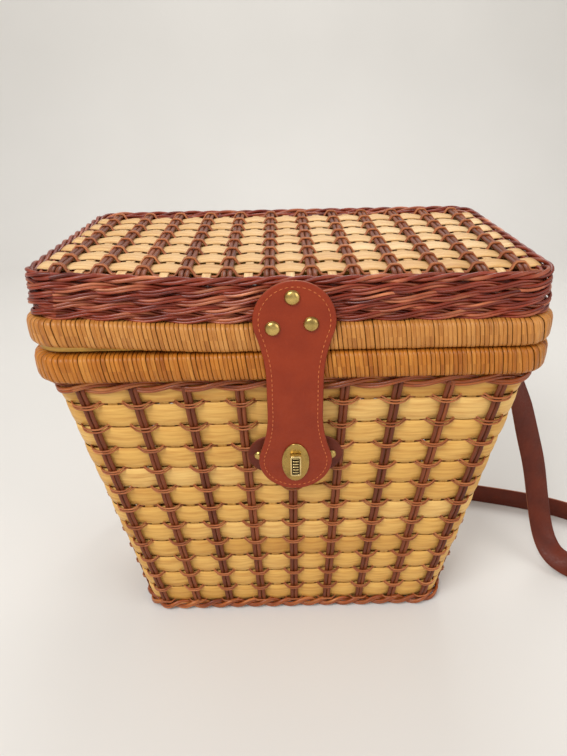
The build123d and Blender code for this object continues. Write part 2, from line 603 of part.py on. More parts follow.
# Shoulder strap. Each point of its centre line has the way its width faces: a turn from
# front-to-back towards left-to-right, and a lift from level towards upright.
anchor_z = BASE_H - ANCHOR_DROP
lean_angle = atan2(FOOT_IN, WALL_TOP_Z)
strap_lift = ROW_BULGE + CLEAR + STAKE_T + CLEAR + STRAP_T / 2 + 0.1
anchor_x = wall_half(anchor_z)[0] + strap_lift / cos(lean_angle)
end_z = anchor_z - STRAP_W * 0.56
free_z = anchor_z + STRAP_W * 0.5
end_x = anchor_x - (anchor_z - end_z) * FOOT_IN / WALL_TOP_Z
free_x = anchor_x + (free_z - anchor_z) * FOOT_IN / WALL_TOP_Z
under_rim = WALL_TOP_Z - 8.0
right_run = [
    (end_x, ANCHOR_Y, end_z, 0, 0),
    (anchor_x, ANCHOR_Y, anchor_z, 0, 0),
    (free_x, ANCHOR_Y, free_z, 0, 0),
    (anchor_x + 5, ANCHOR_Y, under_rim - 5, 0, 0),
    (anchor_x + 14, ANCHOR_Y, under_rim, 0, 0),
    (anchor_x + 24, ANCHOR_Y, under_rim - 4, 4, 0),
    (anchor_x + 31, ANCHOR_Y, under_rim - 18, 10, 0),
    (anchor_x + 35, ANCHOR_Y, under_rim - 40, 26, 0),
    (anchor_x + 39, ANCHOR_Y, under_rim - 62, 44, 0),
    (anchor_x + 46, ANCHOR_Y, under_rim - 82, 60, 0),
    (anchor_x + 54, ANCHOR_Y, under_rim - 102, 73, 0),
    (anchor_x + 64, ANCHOR_Y - 2, under_rim - 134, 82, 0),
    (anchor_x + 76, ANCHOR_Y - 5, under_rim - 170, 85, 0),
    (anchor_x + 85, ANCHOR_Y - 10, under_rim - 212, 85, 0),
    (anchor_x + 90, ANCHOR_Y - 17, under_rim - 240, 85, 3),
    (anchor_x + 94, ANCHOR_Y - 28, under_rim - 260, 84, 9),
    (anchor_x + 100, ANCHOR_Y - 42, under_rim - 272, 84, 20),
    (anchor_x + 111, ANCHOR_Y - 55, 14.5, 84, 40),
    (anchor_x + 125, ANCHOR_Y - 64, 13.5, 84, 62),
    (anchor_x + 141, ANCHOR_Y - 68, 13.0, 84, 80),
    (anchor_x + 156, ANCHOR_Y - 68, STRAP_ON_EDGE, 84, 90),
]
floor_run = [
    (anchor_x + 171, ANCHOR_Y - 62, STRAP_ON_EDGE, 0, 90),
    (anchor_x + 183, ANCHOR_Y - 50, STRAP_ON_EDGE, 0, 90),
    (anchor_x + 190, ANCHOR_Y - 33, STRAP_ON_EDGE, 0, 90),
    (anchor_x + 190, ANCHOR_Y - 13, STRAP_ON_EDGE, 0, 90),
    (anchor_x + 183, ANCHOR_Y + 8, STRAP_ON_EDGE, 0, 90),
    (anchor_x + 168, ANCHOR_Y + 28, STRAP_ON_EDGE, 0, 90),
    (anchor_x + 142, ANCHOR_Y + 46, STRAP_ON_EDGE, 0, 90),
    (anchor_x + 108, ANCHOR_Y + 61, STRAP_ON_EDGE, 0, 90),
    (anchor_x + 68, ANCHOR_Y + 74, STRAP_ON_EDGE, 0, 90),
    (anchor_x + 20, ANCHOR_Y + 88, STRAP_ON_EDGE, 0, 90),
    (130, 110, STRAP_ON_EDGE, 0, 90),
    (75, 117, STRAP_ON_EDGE, 0, 90),
    (18, 120, STRAP_ON_EDGE, 0, 90),
    (-40, 125, STRAP_ON_EDGE, 0, 90),
    (-95, 135, STRAP_ON_EDGE, 0, 90),
    (-142, 139, STRAP_ON_EDGE, 0, 90),
]
left_run = [
    (-172, 130, STRAP_ON_EDGE + 4, 0, 88),
    (-189, 113, STRAP_ON_EDGE + 16, 0, 80),
    (-198, 95, 52, 0, 64),
    (-204, 77, 86, 0, 44),
    (-209, 61, 122, 0, 30),
    (-214, 47, 158, 0, 20),
    (-218, 35, 194, 0, 12),
    (-220, 26, 226, 0, 7),
    (-anchor_x - 26, ANCHOR_Y + 8, under_rim - 44, 0, 3),
    (-anchor_x - 23, ANCHOR_Y + 3, under_rim - 18, 0, 0),
    (-anchor_x - 19, ANCHOR_Y, under_rim - 5, 0, 0),
    (-anchor_x - 11, ANCHOR_Y, under_rim, 0, 0),
    (-anchor_x - 4.5, ANCHOR_Y, under_rim - 5, 0, 0),
    (-free_x, ANCHOR_Y, free_z, 0, 0),
    (-anchor_x, ANCHOR_Y, anchor_z, 0, 0),
    (-end_x, ANCHOR_Y, end_z, 0, 0),
]
strap_route = right_run + floor_run + left_run


def strap_sections(route):
    """The strap's cross sections, each square to the route."""
    spots = [Vector(*point[:3]) for point in route]
    sections = []
    for i, point in enumerate(route):
        before = spots[max(i - 1, 0)]
        after = spots[min(i + 1, len(spots) - 1)]
        along = (after - before).normalized()
        turn, lift = point[3] * pi / 180, point[4] * pi / 180
        hint = Vector(cos(lift) * sin(turn), cos(lift) * cos(turn), sin(lift))
        wide = (hint - along * hint.dot(along)).normalized()
        plane = Plane(origin=spots[i], x_dir=wide, z_dir=along)
        sections.append((plane * Rectangle(STRAP_W, STRAP_T)).face())
    return sections


sections = strap_sections(strap_route)
floor_start = len(right_run)
left_start = floor_start + len(floor_run)
strap = loft(sections[:floor_start + 1], ruled=True)
strap += loft(sections[floor_start:left_start + 1], ruled=True)
strap += loft(sections[left_start:], ruled=True)
strap_length = sum((Vector(*a[:3]) - Vector(*b[:3])).length for a, b in zip(strap_route, strap_route[1:]))
print("strap length", round(strap_length), "volume over section", round(strap.volume / (STRAP_W * STRAP_T)))
strap_rivets = []
strap_reach = STRAP_T + 0.1 + CLEAR + STAKE_T + CLEAR + ROW_BULGE + WALL_T + WASHER_T + 0.25


def strap_rivet_place(side, out):
    """A place on the strap's centre line at its anchor, moved out along the wall's normal."""
    normal = Vector(side * cos(lean_angle), 0, -sin(lean_angle))
    return Plane(origin=Vector(side * anchor_x, ANCHOR_Y, anchor_z) + normal * out, z_dir=normal).location


for side in (-1, 1):
    rivet = domed_rivet(ANCHOR_RIVET_R, RIVET_HEAD_H, RIVET_SHANK_R, strap_reach, WASHER_R, WASHER_T)
    strap_rivets.append(strap_rivet_place(side, STRAP_T / 2 + 0.05) * rivet)
    hole = strap_rivet_place(side, 0) * peg(RIVET_SHANK_R + 0.1, 40)
    strap -= hole
    if side > 0:
        right_wall -= hole
    else:
        left_wall -= hole

save("front_wall", front_wall)
save("back_wall", back_wall)
save("left_wall", left_wall)
save("right_wall", right_wall)
save("corner_walls", *corner_walls)
for side in side_counts:
    save(side + "_stakes", *stakes[side])
save("inner_ribs", *[rib for side in side_counts for rib in ribs[side]])
save("bottom_splints", *bottom_splints)
save("bottom_stakes", *bottom_stakes)
save("foot_border", foot_border)
save("top_border", top_border)
save("base_rim_wrap", base_wrap)
save("base_rim_hoops", base_hoop_outer, base_hoop_inner)
save("locating_lip", locating_lip)
save("lid_side_weave", lid_side)
save("lid_splints", *lid_splints)
save("lid_weavers", *lid_weavers)
save("lid_columns", *lid_columns)
save("lid_ribs", *lid_ribs)
save("lid_edge_border", lid_edge)
save("lid_rim_wrap", lid_wrap)
save("lid_rim_hoops", lid_hoop_outer, lid_hoop_inner)
save("tab_root", tab_root)
save("tab_flap", tab_flap)
save("tab_plate", plate)
save("tab_rivets", *tab_rivets)
save("turn_knob", knob)
save("lock_base", lock_base)
save("lock_patch", patch)
save("patch_rivets", *patch_rivets)
save("hinge_upper_leaves", *upper_leaves)
save("hinge_lower_leaves", *lower_leaves)
save("hinge_upper_rivets", *upper_rivets)
save("hinge_lower_rivets", *lower_rivets)
save("shoulder_strap", strap)
save("strap_rivets", *strap_rivets)
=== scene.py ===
import random
from math import atan, cos, pi, sin, sqrt

import bmesh
import bpy
import numpy as np
from mathutils import Matrix, Vector


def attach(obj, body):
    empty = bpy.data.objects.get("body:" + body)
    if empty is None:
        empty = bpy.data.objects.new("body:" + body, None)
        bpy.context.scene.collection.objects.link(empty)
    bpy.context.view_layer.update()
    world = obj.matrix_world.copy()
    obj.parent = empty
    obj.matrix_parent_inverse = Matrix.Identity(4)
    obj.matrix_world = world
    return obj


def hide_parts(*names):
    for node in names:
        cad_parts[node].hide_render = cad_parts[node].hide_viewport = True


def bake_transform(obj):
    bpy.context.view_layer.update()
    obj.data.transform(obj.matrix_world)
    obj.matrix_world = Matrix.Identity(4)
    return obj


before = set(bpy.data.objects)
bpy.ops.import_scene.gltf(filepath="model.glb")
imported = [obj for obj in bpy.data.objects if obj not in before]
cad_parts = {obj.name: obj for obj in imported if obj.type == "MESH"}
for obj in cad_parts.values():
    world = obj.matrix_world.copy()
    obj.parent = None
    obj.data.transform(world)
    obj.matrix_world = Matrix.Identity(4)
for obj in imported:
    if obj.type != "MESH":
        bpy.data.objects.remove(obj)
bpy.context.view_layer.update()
chance = random.Random(7)

# Sizes in millimetres, as in the CAD model. X runs to the right, Y to the back, Z up.
MM = 0.001
RIM_W = 418.0
RIM_D = 264.0
RIM_R = 32.0
RIM_RING = (RIM_W / 2, RIM_D / 2, RIM_R)
RIM_H = 26.5
RIM_T = 24.0
RIM_PROUD = 14.0
WRAP_PITCH = 3.5         # one turn of the split cane to the next
BASE_H = 324.0
FOOT_IN = 42.0
FOOT_R = 22.0
WALL_TOP_Z = BASE_H - RIM_H
TOP_X = RIM_W / 2 - RIM_PROUD
TOP_Y = RIM_D / 2 - RIM_PROUD
TOP_R = RIM_R - RIM_PROUD

# The wall's weave
ROW_COUNT = 12
FIRST_ROW_Z = 9.0
ROW_PITCH = (WALL_TOP_Z - FIRST_ROW_Z) / ROW_COUNT
ROW_GAP = 1.6            # room for two weavers between one row and the next
SPLINT_T = 1.2
SPLINT_CROWN = 0.6
SPLINT_IN = -0.5         # splint behind a brown stake, from the wall's face
SPLINT_OUT = 1.6         # and midway between two, where it goes over a natural rib
STAKE_PITCH = 43.4
SIDE_STAKES = (4, 2, 4, 2)     # number of the outermost stake of each side
STAKE_FOOT = 7.0
CORNER_PHASE = 7         # the long sides and the ends together have room for this many stakes
STAKE_OUT = 3.3
ROD_W = 4.0
ROD_T = 3.1
WEAVER_T = 1.9
WEAVER_APART = 1.35
WEAVER_IN = -0.7
WEAVER_OUT = 5.4
WEAVER_SAG = 3.4         # how far a pair of weavers droops where it crosses a stake
WEAVER_REACH = (0.14, 0.36)    # in stakes from a stake: over it up to the first, at the wall from the second
SAG_REACH = (0.0, 0.38)
RIB_FOOT = 12.0
RIB_W = 8.0
RIB_T = 1.6

# The lid's weave
COLUMN_COUNT = 12
COLUMN_PITCH = 32.3
COLUMN_Z = 380.2
LID_SPLINT_COUNT = 7
LID_PITCH = 29.5
LID_SPLINT_W = 22.5
LID_SPLINT_Z = 376.9
LID_SPLINT_END = 195.0
LID_WEAVER_Z = 376.3
LID_WEAVER_RISE = 6.3
LID_WEAVER_END = 193.0
LID_WEAVER_SIDE = 105.0
LID_WEAVER_REACH = (0.09, 0.27)
LID_RIB_Z = 376.6
LID_RIB_END = 117.0
COLUMN_END = 119.0
CORNER_COLUMN_X = 160.0  # columns further out than this are cut shorter
CORNER_COLUMN_END = 115.0
LID_EDGE_Z = 378.3
LID_EDGE_IN = 9.4
INNER_EDGE_Z = 376.6
INNER_EDGE_IN = 15.2
LID_SIDE_LOW = 346.2
LID_SIDE_IN = 4.0
LID_ROW_PITCH = 7.1
LID_ROWS = 4
BASE_WRAP = (298.6, 24.0)     # foot and height of the cane wrap
LID_WRAP = (322.9, 23.5)
LID_GAP_LEFT = 7.0       # how far the lid's weave is lifted at its left front corner
LID_GAP_FROM = 45.0      # the lift starts so far left of the middle
LID_GAP_RUN = 150.0

# Leather and fittings
TAB_X = 2.0
TAB_TOP = 381.8
TAB_UPPER_R = 31.5
TAB_HALF_WAIST = 22.5
TAB_LOWER_R = 31.3
TAB_NECK_R = 120.0
TAB_BACK_Y = -(RIM_D / 2 + 0.4)
LEATHER_T = 3.0
LOCK_Z = 218.0
BEND_Z = 294.3
TAB_LEAN = 0.1381        # how far the tab leans in for each step down below its bend
STITCH_IN = 4.4
STITCH_STEP = 4.3
STITCH_L = 3.0
PATCH_PLACE = np.array((TAB_X, -111.777, LOCK_Z))
PATCH_OUT = np.array((0, -0.99018, -0.13979))
PATCH_T = 2.2
PATCH_W = 82.0
PATCH_H = 42.0
HINGE_X = 115.0
HINGE_Z = 324.15
HINGE_HALF_W = 16.0
HINGE_HALF_H = 26.1
HINGE_CORNER = 4.0
HINGE_T = 2.4
STRAP_W = 25.0
STRAP_T = 3.0
BIG_RIVET = (6.0, 3.2)   # radius and height of the head
SMALL_RIVET = (4.4, 2.4)
TAB_RIVETS = ((-1.5, 12.5, 22.4), (-16.5, 36.5, 28.4), (12.5, 33.5, 28.4))    # across, down, reach in
PATCH_RIVET = (31.5, 11.2)       # off the patch's middle, and reach in
HINGE_RIVET = (8.0, 13.0, 27.5)  # off the hinge's middle, off its line, and reach in
STRAP_REACH = 12.2
WALL_LEAN = FOOT_IN / WALL_TOP_Z
BORDER_Z = WALL_TOP_Z - 5.8
FOOT_BORDER_Z = 6.7


# Materials
def srgb(red, green, blue):
    """A colour given as 0 to 255 values, in linear light."""
    return tuple(((c / 255 + 0.055) / 1.055) ** 2.4 for c in (red, green, blue)) + (1.0,)


class Nodes:
    """Shorthand for the nodes of one material."""

    def __init__(self, name, coordinates="UV"):
        self.material = bpy.data.materials.new(name)
        self.material.use_nodes = True
        self.tree = self.material.node_tree
        self.shader = self.tree.nodes["Principled BSDF"]
        self.place = self.add("ShaderNodeTexCoord").outputs[coordinates]

    def add(self, kind, inputs=(), **settings):
        node = self.tree.nodes.new(kind)
        for key, value in settings.items():
            setattr(node, key, value)
        self.feed(node, dict(inputs))
        return node

    def feed(self, node, inputs):
        """Links or sets the inputs of a node."""
        for key, value in inputs.items():
            if isinstance(value, bpy.types.NodeSocket):
                self.tree.links.new(value, node.inputs[key])
            else:
                node.inputs[key].default_value = value

    def noise(self, stretch, detail=2.0):
        """Noise with so many bumps to the metre along each axis."""
        scaled = self.add("ShaderNodeVectorMath", {0: self.place, 1: stretch}, operation="MULTIPLY")
        inputs = {"Vector": scaled.outputs[0], "Scale": 1.0, "Detail": detail}
        return self.add("ShaderNodeTexNoise", inputs).outputs[0]

    def ramp(self, factor, low, high, colours):
        """Colours spread evenly between two values of the factor."""
        node = self.add("ShaderNodeValToRGB", {0: factor})
        stops = node.color_ramp.elements
        while len(stops) < len(colours):
            stops.new(0.5)
        for i, colour in enumerate(colours):
            stops[i].position = low + (high - low) * i / (len(colours) - 1)
            stops[i].color = colour
        return node.outputs[0]

    def grey(self, factor, low, high, dark=0.0, light=1.0):
        return self.ramp(factor, low, high, [(dark, dark, dark, 1), (light, light, light, 1)])

    def mix(self, factor, first, second, way="MIX"):
        inputs = {0: factor, 6: first, 7: second}
        return self.add("ShaderNodeMix", inputs, data_type="RGBA", blend_type=way).outputs[2]

    def bump(self, height, strength, depth, under=None):
        inputs = {"Height": height, "Strength": strength, "Distance": depth}
        if under is not None:
            inputs["Normal"] = under
        return self.add("ShaderNodeBump", inputs).outputs[0]

    def finish(self, colour, roughness, normal=None, **sockets):
        inputs = {name.replace("_", " "): value for name, value in sockets.items()}
        if normal is not None:
            inputs["Normal"] = normal
        self.feed(self.shader, {"Base Color": colour, "Roughness": roughness, **inputs})
        return self.material


def fibre(
    name, tones, stain, rough=(0.38, 0.6), coordinates="UV", along=(34, 2400, 0), slow=(1.9, 0, 0), gloss=0.3
):
    """Split cane or willow in 0 to 255 colours: each strand has its own tone, with fine fibres along it."""
    n = Nodes(name, coordinates)
    stain = srgb(*stain)
    tone = n.ramp(n.noise(slow, 3.0), 0.33, 0.67, [srgb(*values) for values in tones])
    streak = n.noise(along, 3.0)
    streaked = n.mix(n.grey(streak, 0.35, 0.75, 0.0, 0.55), tone, stain)
    blotch = n.grey(n.noise([c * 0.12 + 22 for c in along], 4.0), 0.42, 0.74, 0.0, 0.5)
    colour = n.mix(blotch, streaked, stain, "MULTIPLY")
    normal = n.bump(streak, 0.35, 0.0004)
    return n.finish(colour, n.grey(streak, 0.3, 0.8, *rough), normal, Specular_IOR_Level=gloss)


def leather(name, light, dark):
    """Smooth tanned leather with a fine pebble, darker in its hollows and scuffed here and there."""
    n = Nodes(name)
    pebble = n.add("ShaderNodeTexVoronoi", {"Vector": n.place, "Scale": 900.0}).outputs["Distance"]
    cloud = n.noise((45, 45, 45), 4.0)
    colour = n.ramp(cloud, 0.32, 0.7, [dark, light])
    scuff = n.grey(n.noise((160, 420, 0), 5.0), 0.62, 0.82, 0.0, 0.25)
    colour = n.mix(scuff, colour, tuple(min(1.0, c * 1.5) for c in light[:3]) + (1.0,))
    normal = n.bump(pebble, 0.3, 0.0003, n.bump(cloud, 0.25, 0.002))
    rough = n.grey(n.noise((300, 300, 0), 3.0), 0.3, 0.7, 0.42, 0.62)
    return n.finish(colour, rough, normal, Specular_IOR_Level=0.3)


def cut_edge(name, light, dark):
    """The raw edge of a strap: layered fibres, lighter than the face."""
    n = Nodes(name)
    layers = n.noise((120, 3000, 0), 3.0)
    colour = n.ramp(layers, 0.3, 0.7, [dark, light])
    return n.finish(colour, 0.75, n.bump(layers, 0.4, 0.0004))


def brass(name, bright, dull):
    """Lightly tarnished brass with fine rubbing marks."""
    n = Nodes(name, "Object")
    tarnish = n.grey(n.noise((90, 90, 90), 5.0), 0.45, 0.75, 0.0, 0.75)
    colour = n.mix(tarnish, bright, dull)
    rough = n.grey(n.noise((700, 300, 300), 4.0), 0.3, 0.75, 0.2, 0.45)
    normal = n.bump(n.noise((260, 260, 260), 3.0), 0.12, 0.0006)
    return n.finish(colour, rough, normal, Metallic=1.0)


def thread(name, light, dark):
    """Waxed thread with its twist."""
    n = Nodes(name)
    twist = n.noise((1400, 900, 0), 2.0)
    return n.finish(n.ramp(twist, 0.35, 0.65, [dark, light]), 0.6, n.bump(twist, 0.5, 0.0003))


def plain_ground(name, colour):
    """Smooth pale studio paper."""
    n = Nodes(name, "Object")
    shade = tuple(c * 0.97 for c in colour[:3]) + (1.0,)
    return n.finish(n.ramp(n.noise((3, 3, 3), 2.0), 0.3, 0.7, [shade, colour]), 0.85)


SPLINT = fibre("splint_cane", [(206, 154, 74), (228, 180, 96), (240, 200, 124)], (190, 134, 62))
PALE_SPLINT = fibre("pale_splint_cane", [(214, 168, 104), (230, 190, 132), (240, 208, 156)], (186, 136, 78))
BROWN_ROD = fibre("brown_willow", [(98, 42, 20), (128, 62, 30), (158, 84, 44)], (74, 30, 14), (0.32, 0.55))
WEAVER_ROD = fibre(
    "weaver_willow",
    [(146, 76, 38), (180, 104, 58), (210, 136, 82)], (110, 52, 26),
    rough=(0.32, 0.55), slow=(6.0, 0, 0),
)
BORDER_ROD = fibre(
    "border_rod",
    [(122, 50, 18), (172, 86, 34), (224, 144, 76)], (84, 32, 12),
    rough=(0.24, 0.44), slow=(16, 0, 0), gloss=0.45,
)
# The two darker tones are the willow's own colour; the lightest is a painted highlight colour, laid in random
# stretches along the rods.
DARK_ROD_PAINTED_HIGHLIGHT = fibre(
    "dark_willow",
    [(96, 26, 14), (150, 56, 30), (222, 136, 92)], (52, 14, 8),
    rough=(0.26, 0.46), gloss=0.42, slow=(16.0, 0, 0),
)
CANE_WRAP = fibre(
    "wrapping_cane",
    [(180, 114, 48), (202, 136, 64), (218, 156, 84)], (150, 88, 36),
    rough=(0.3, 0.5),
)
BASE_WRAP_CANE = fibre(
    "base_wrapping_cane",
    [(170, 96, 26), (194, 120, 40), (212, 144, 62)], (136, 72, 18),
    rough=(0.3, 0.5),
)
PLAIN_WOOD = {"coordinates": "Object", "along": (60, 60, 900), "slow": (9, 9, 9)}
WOOD = fibre("pale_hoop_wood", [(204, 160, 78), (220, 178, 92)], (140, 100, 54), **PLAIN_WOOD)
FLOOR_SPLINT = fibre(
    "bottom_cane",
    [(190, 136, 70), (214, 166, 96)], (150, 100, 50),
    coordinates="Object", along=(30, 900, 30), slow=(6, 40, 6),
)
FLOOR_ROD = fibre(
    "bottom_willow",
    [(104, 50, 28), (140, 74, 40)], (72, 32, 18),
    coordinates="Object", along=(900, 30, 30), slow=(40, 6, 6),
)
TAB_LEATHER = leather("tab_leather", srgb(144, 49, 15), srgb(131, 41, 11))
PATCH_LEATHER = leather("patch_leather", srgb(112, 40, 15), srgb(88, 30, 11))
STRAP_LEATHER = leather("strap_leather", srgb(102, 35, 9), srgb(84, 27, 7))
# The locating lip's wood is painted brighter and more saturated than the hoops' wood: painted light in the
# shaded gap under the lid.
LIP_WOOD_PAINTED_LIGHT = fibre("lip_wood_painted_light", [(222, 172, 52), (234, 190, 74)], (178, 128, 40), **PLAIN_WOOD)
LEATHER_EDGE = cut_edge("leather_cut_edge", srgb(178, 106, 66), srgb(120, 60, 34))
BRASS = brass("brass", srgb(206, 176, 104), srgb(112, 86, 44))
PLATE_BRASS = brass("plate_brass", srgb(182, 150, 84), srgb(96, 72, 36))
# The knob's brass is painted lighter than the plate's and the rivets': a painted highlight on the knob's
# frame.
BRASS_PAINTED_HIGHLIGHT = brass("brass_painted_highlight", srgb(238, 212, 148), srgb(168, 136, 78))
ORANGE_THREAD = thread("orange_thread", srgb(214, 116, 56), srgb(166, 78, 34))
# A dark brass that lines the floor of the knob's sunken window.
DARK_WINDOW_BRASS = brass("dark_window_brass", srgb(70, 56, 38), srgb(34, 26, 18))


# Building meshes from strands
def new_object(name, data):
    """An object in the scene."""
    thing = bpy.data.objects.new(name, data)
    bpy.context.scene.collection.objects.link(thing)
    return thing


def closed(points):
    """A line that comes back to its first point."""
    return np.concatenate([points, points[:1]])


def run_length(points):
    """The way run along a line up to each of its points."""
    return np.concatenate([[0.0], np.cumsum(np.linalg.norm(np.diff(points, axis=0), axis=1))])


class Piece:
    """Gathers strands, each a grid of points with rings of points along it, into one mesh."""

    def __init__(self):
        self.points = []
        self.faces = []
        self.uvs = []
        self.slots = []
        self.count = 0

    def strand(self, grid, loop=False, trim=()):
        """Adds a closed tube. Faces that start at a place listed in trim take the second material."""
        grid = np.asarray(grid, float)
        rings, around = grid.shape[:2]
        index = self.count + np.arange(rings * around).reshape(rings, around)
        far = run_length(closed(grid.mean(axis=1))) * MM + chance.uniform(0, 40)
        wide = run_length(closed(grid[rings // 2])) * MM
        for i in range(rings if loop else rings - 1):
            ahead = index[(i + 1) % rings]
            for j in range(around):
                k = (j + 1) % around
                self.faces.append((index[i][j], ahead[j], ahead[k], index[i][k]))
                low, high = wide[j], wide[j + 1]
                self.uvs += [(far[i], low), (far[i + 1], low), (far[i + 1], high), (far[i], high)]
                self.slots.append(1 if j in trim else 0)
        if not loop:
            for i, ring in ((0, index[0]), (rings, index[-1])):
                for j in range(around // 2 - 1):
                    self.faces.append((ring[j], ring[j + 1], ring[around - 2 - j], ring[around - 1 - j]))
                    self.uvs += [(far[i], wide[j])] * 4
                    self.slots.append(1 if trim else 0)
        self.points.append(grid.reshape(-1, 3))
        self.count += rings * around

    def build(self, name, materials, body, *replaced):
        """Makes the object, with its faces turned outwards, riding on a body."""
        mesh = bpy.data.meshes.new(name)
        points = (np.concatenate(self.points) * MM).tolist()
        mesh.from_pydata(points, [], [tuple(map(int, face)) for face in self.faces])
        layer = mesh.uv_layers.new(name="UVMap")
        layer.data.foreach_set("uv", np.array(self.uvs, np.float32).ravel())
        mesh.polygons.foreach_set("material_index", self.slots)
        work = bmesh.new()
        work.from_mesh(mesh)
        bmesh.ops.recalc_face_normals(work, faces=work.faces)
        for face in work.faces:
            face.smooth = True
        work.to_mesh(mesh)
        work.free()
        for material in materials:
            mesh.materials.append(material)
        thing = new_object(name, mesh)
        if body:
            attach(thing, body)
        if replaced:
            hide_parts(*replaced)
        return thing


def circle(width, thick, count=8):
    """An oval section, as (across, out) points."""
    turns = [2 * pi * i / count for i in range(count)]
    return np.array([(width / 2 * cos(a), thick / 2 * sin(a)) for a in turns])


def flat(width, thick, crown=0.0):
    """A flat section with eased edges and a crown, as (across, out) points."""
    half, low, high = width / 2, -thick / 2, thick / 2
    top = [(-half, low * 0.4), (-half * 0.94, high), (-half * 0.4, high + crown), (half * 0.4, high + crown)]
    return np.array(top + [(half * 0.94, high), (half, low * 0.4), (half * 0.7, low), (-half * 0.7, low)])


def tube(path, out, section, loop=False):
    """A grid of points: the section carried along the path, its second axis towards out."""
    path = np.asarray(path, float)
    out = np.broadcast_to(np.asarray(out, float), path.shape)
    if loop:
        along = np.roll(path, -1, axis=0) - np.roll(path, 1, axis=0)
    else:
        along = np.gradient(path, axis=0)
    along = along / np.linalg.norm(along, axis=1, keepdims=True)
    normal = out - along * (out * along).sum(axis=1, keepdims=True)
    normal = normal / np.linalg.norm(normal, axis=1, keepdims=True)
    across = np.cross(along, normal)
    section = np.broadcast_to(section, (len(path),) + np.shape(section)[-2:])
    return path[:, None] + across[:, None] * section[..., :1] + normal[:, None] * section[..., 1:]


# Rings: parts 0 to 7 are the front, a corner, the right, a corner, the back, a corner, the left, a corner
def ring_at(half_x, half_y, radius, part, share):
    """Points and outward normals on a rounded rectangle, at a share of the way along its parts."""
    side = part // 2
    straight = part % 2 == 0
    own = np.where(side % 2 == 0, half_x, half_y)
    other = np.where(side % 2 == 0, half_y, half_x)
    angle = np.where(straight, 0.0, share * pi / 2)
    along = np.where(straight, (2 * share - 1) * (own - radius), own - radius + radius * np.sin(angle))
    out = np.where(straight, other, other - radius + radius * np.cos(angle))
    turn = side * pi / 2
    x = along * np.cos(turn) + out * np.sin(turn)
    y = along * np.sin(turn) - out * np.cos(turn)
    normal = np.stack([np.sin(angle + turn), -np.cos(angle + turn)], -1)
    return np.stack([x, y], -1), normal


def ring_lengths(half_x, half_y, radius):
    quarter = radius * pi / 2
    return np.array([2 * (half_x - radius), quarter, 2 * (half_y - radius), quarter] * 2)


def ring_by_length(ring, distance):
    """Points and outward normals at a distance round a ring."""
    lengths = ring_lengths(*ring)
    edges = np.concatenate([[0.0], np.cumsum(lengths)])
    distance = np.mod(distance, edges[-1])
    part = np.clip(np.searchsorted(edges, distance, side="right") - 1, 0, 7)
    return ring_at(*ring, part, (distance - edges[part]) / lengths[part])


def grown(ring, out):
    return ring[0] + out, ring[1] + out, ring[2] + out


def upright_points(flat_points, z):
    """Puts heights to points of a plan."""
    return np.concatenate([flat_points, np.broadcast_to(z, flat_points.shape[:-1])[..., None]], axis=-1)


# The wall's own ring at each height, and how far each place is from a stake
def wall_ring(z):
    share = np.clip((WALL_TOP_Z - z) / WALL_TOP_Z, 0, 1)
    lean = FOOT_IN * share
    return TOP_X - lean, TOP_Y - lean, TOP_R + (FOOT_R - TOP_R) * share


def side_reach(z):
    """Stakes that the straight half of a long side, and of an end, has room for."""
    half_x, half_y, radius = wall_ring(z)
    long_reach = (half_x - radius) * TOP_X / half_x / STAKE_PITCH
    short_reach = (half_y - radius) * TOP_Y / half_y / STAKE_PITCH
    return long_reach, short_reach


def wall_phase(z, part, share):
    """Distance from the middle of a side, in stakes, carried on round the corner after it."""
    long_reach, short_reach = side_reach(z)
    is_long = (part // 2) % 2 == 0
    own = np.where(is_long, long_reach, short_reach)
    corner = CORNER_PHASE - long_reach - short_reach
    return np.where(part % 2 == 0, (2 * share - 1) * own, own + corner * share)


def near_stake(phase, full, none):
    """1 on a stake, 0 away from it, eased between two distances in stakes."""
    off = np.abs(phase - np.round(phase))
    t = np.clip((none - off) / (none - full), 0, 1)
    return t * t * (3 - 2 * t)


# Places round the wall, as parts and shares
STEPS = (120, 14, 72, 14) * 2
PARTS = np.repeat(np.arange(8), STEPS)
SHARES = np.concatenate([np.arange(steps) / steps for steps in STEPS])


def wall_strand(piece, z_mid, section, out_of, rise_of):
    """A closed strand round the wall. out_of and rise_of give its place from its distance to a stake."""
    z = z_mid + section[None, :, 0] + rise_of(wall_phase(z_mid, PARTS, SHARES))[:, None]
    parts = np.broadcast_to(PARTS[:, None], z.shape)
    shares = np.broadcast_to(SHARES[:, None], z.shape)
    point, normal = ring_at(*wall_ring(z), parts, shares)
    out = out_of(wall_phase(z, parts, shares)) + section[None, :, 1]
    piece.strand(upright_points(point + normal * out[..., None], z), loop=True)


def make_wall_splints():
    piece = Piece()
    for row in range(ROW_COUNT):
        z_mid = FIRST_ROW_Z + (row + 0.5) * ROW_PITCH + chance.uniform(-0.3, 0.3)
        width = ROW_PITCH - ROW_GAP + chance.uniform(-0.6, 0.6)
        wave = [(chance.uniform(0, 0.35), chance.randint(3, 9), chance.uniform(0, 2 * pi)) for _ in range(2)]

        def out_of(phase):
            bow = SPLINT_IN + (SPLINT_OUT - SPLINT_IN) * (0.5 - 0.5 * np.cos(2 * pi * phase))
            return bow + sum(size * np.sin(phase * turns / 3 + start) for size, turns, start in wave)

        def rise_of(phase):
            return 0.35 * np.sin(phase * 1.7 + row)

        wall_strand(piece, z_mid, flat(width, SPLINT_T, SPLINT_CROWN), out_of, rise_of)
    nodes = ("front_wall", "back_wall", "left_wall", "right_wall", "corner_walls")
    piece.build("wall_splints", [SPLINT], "basket", *nodes)


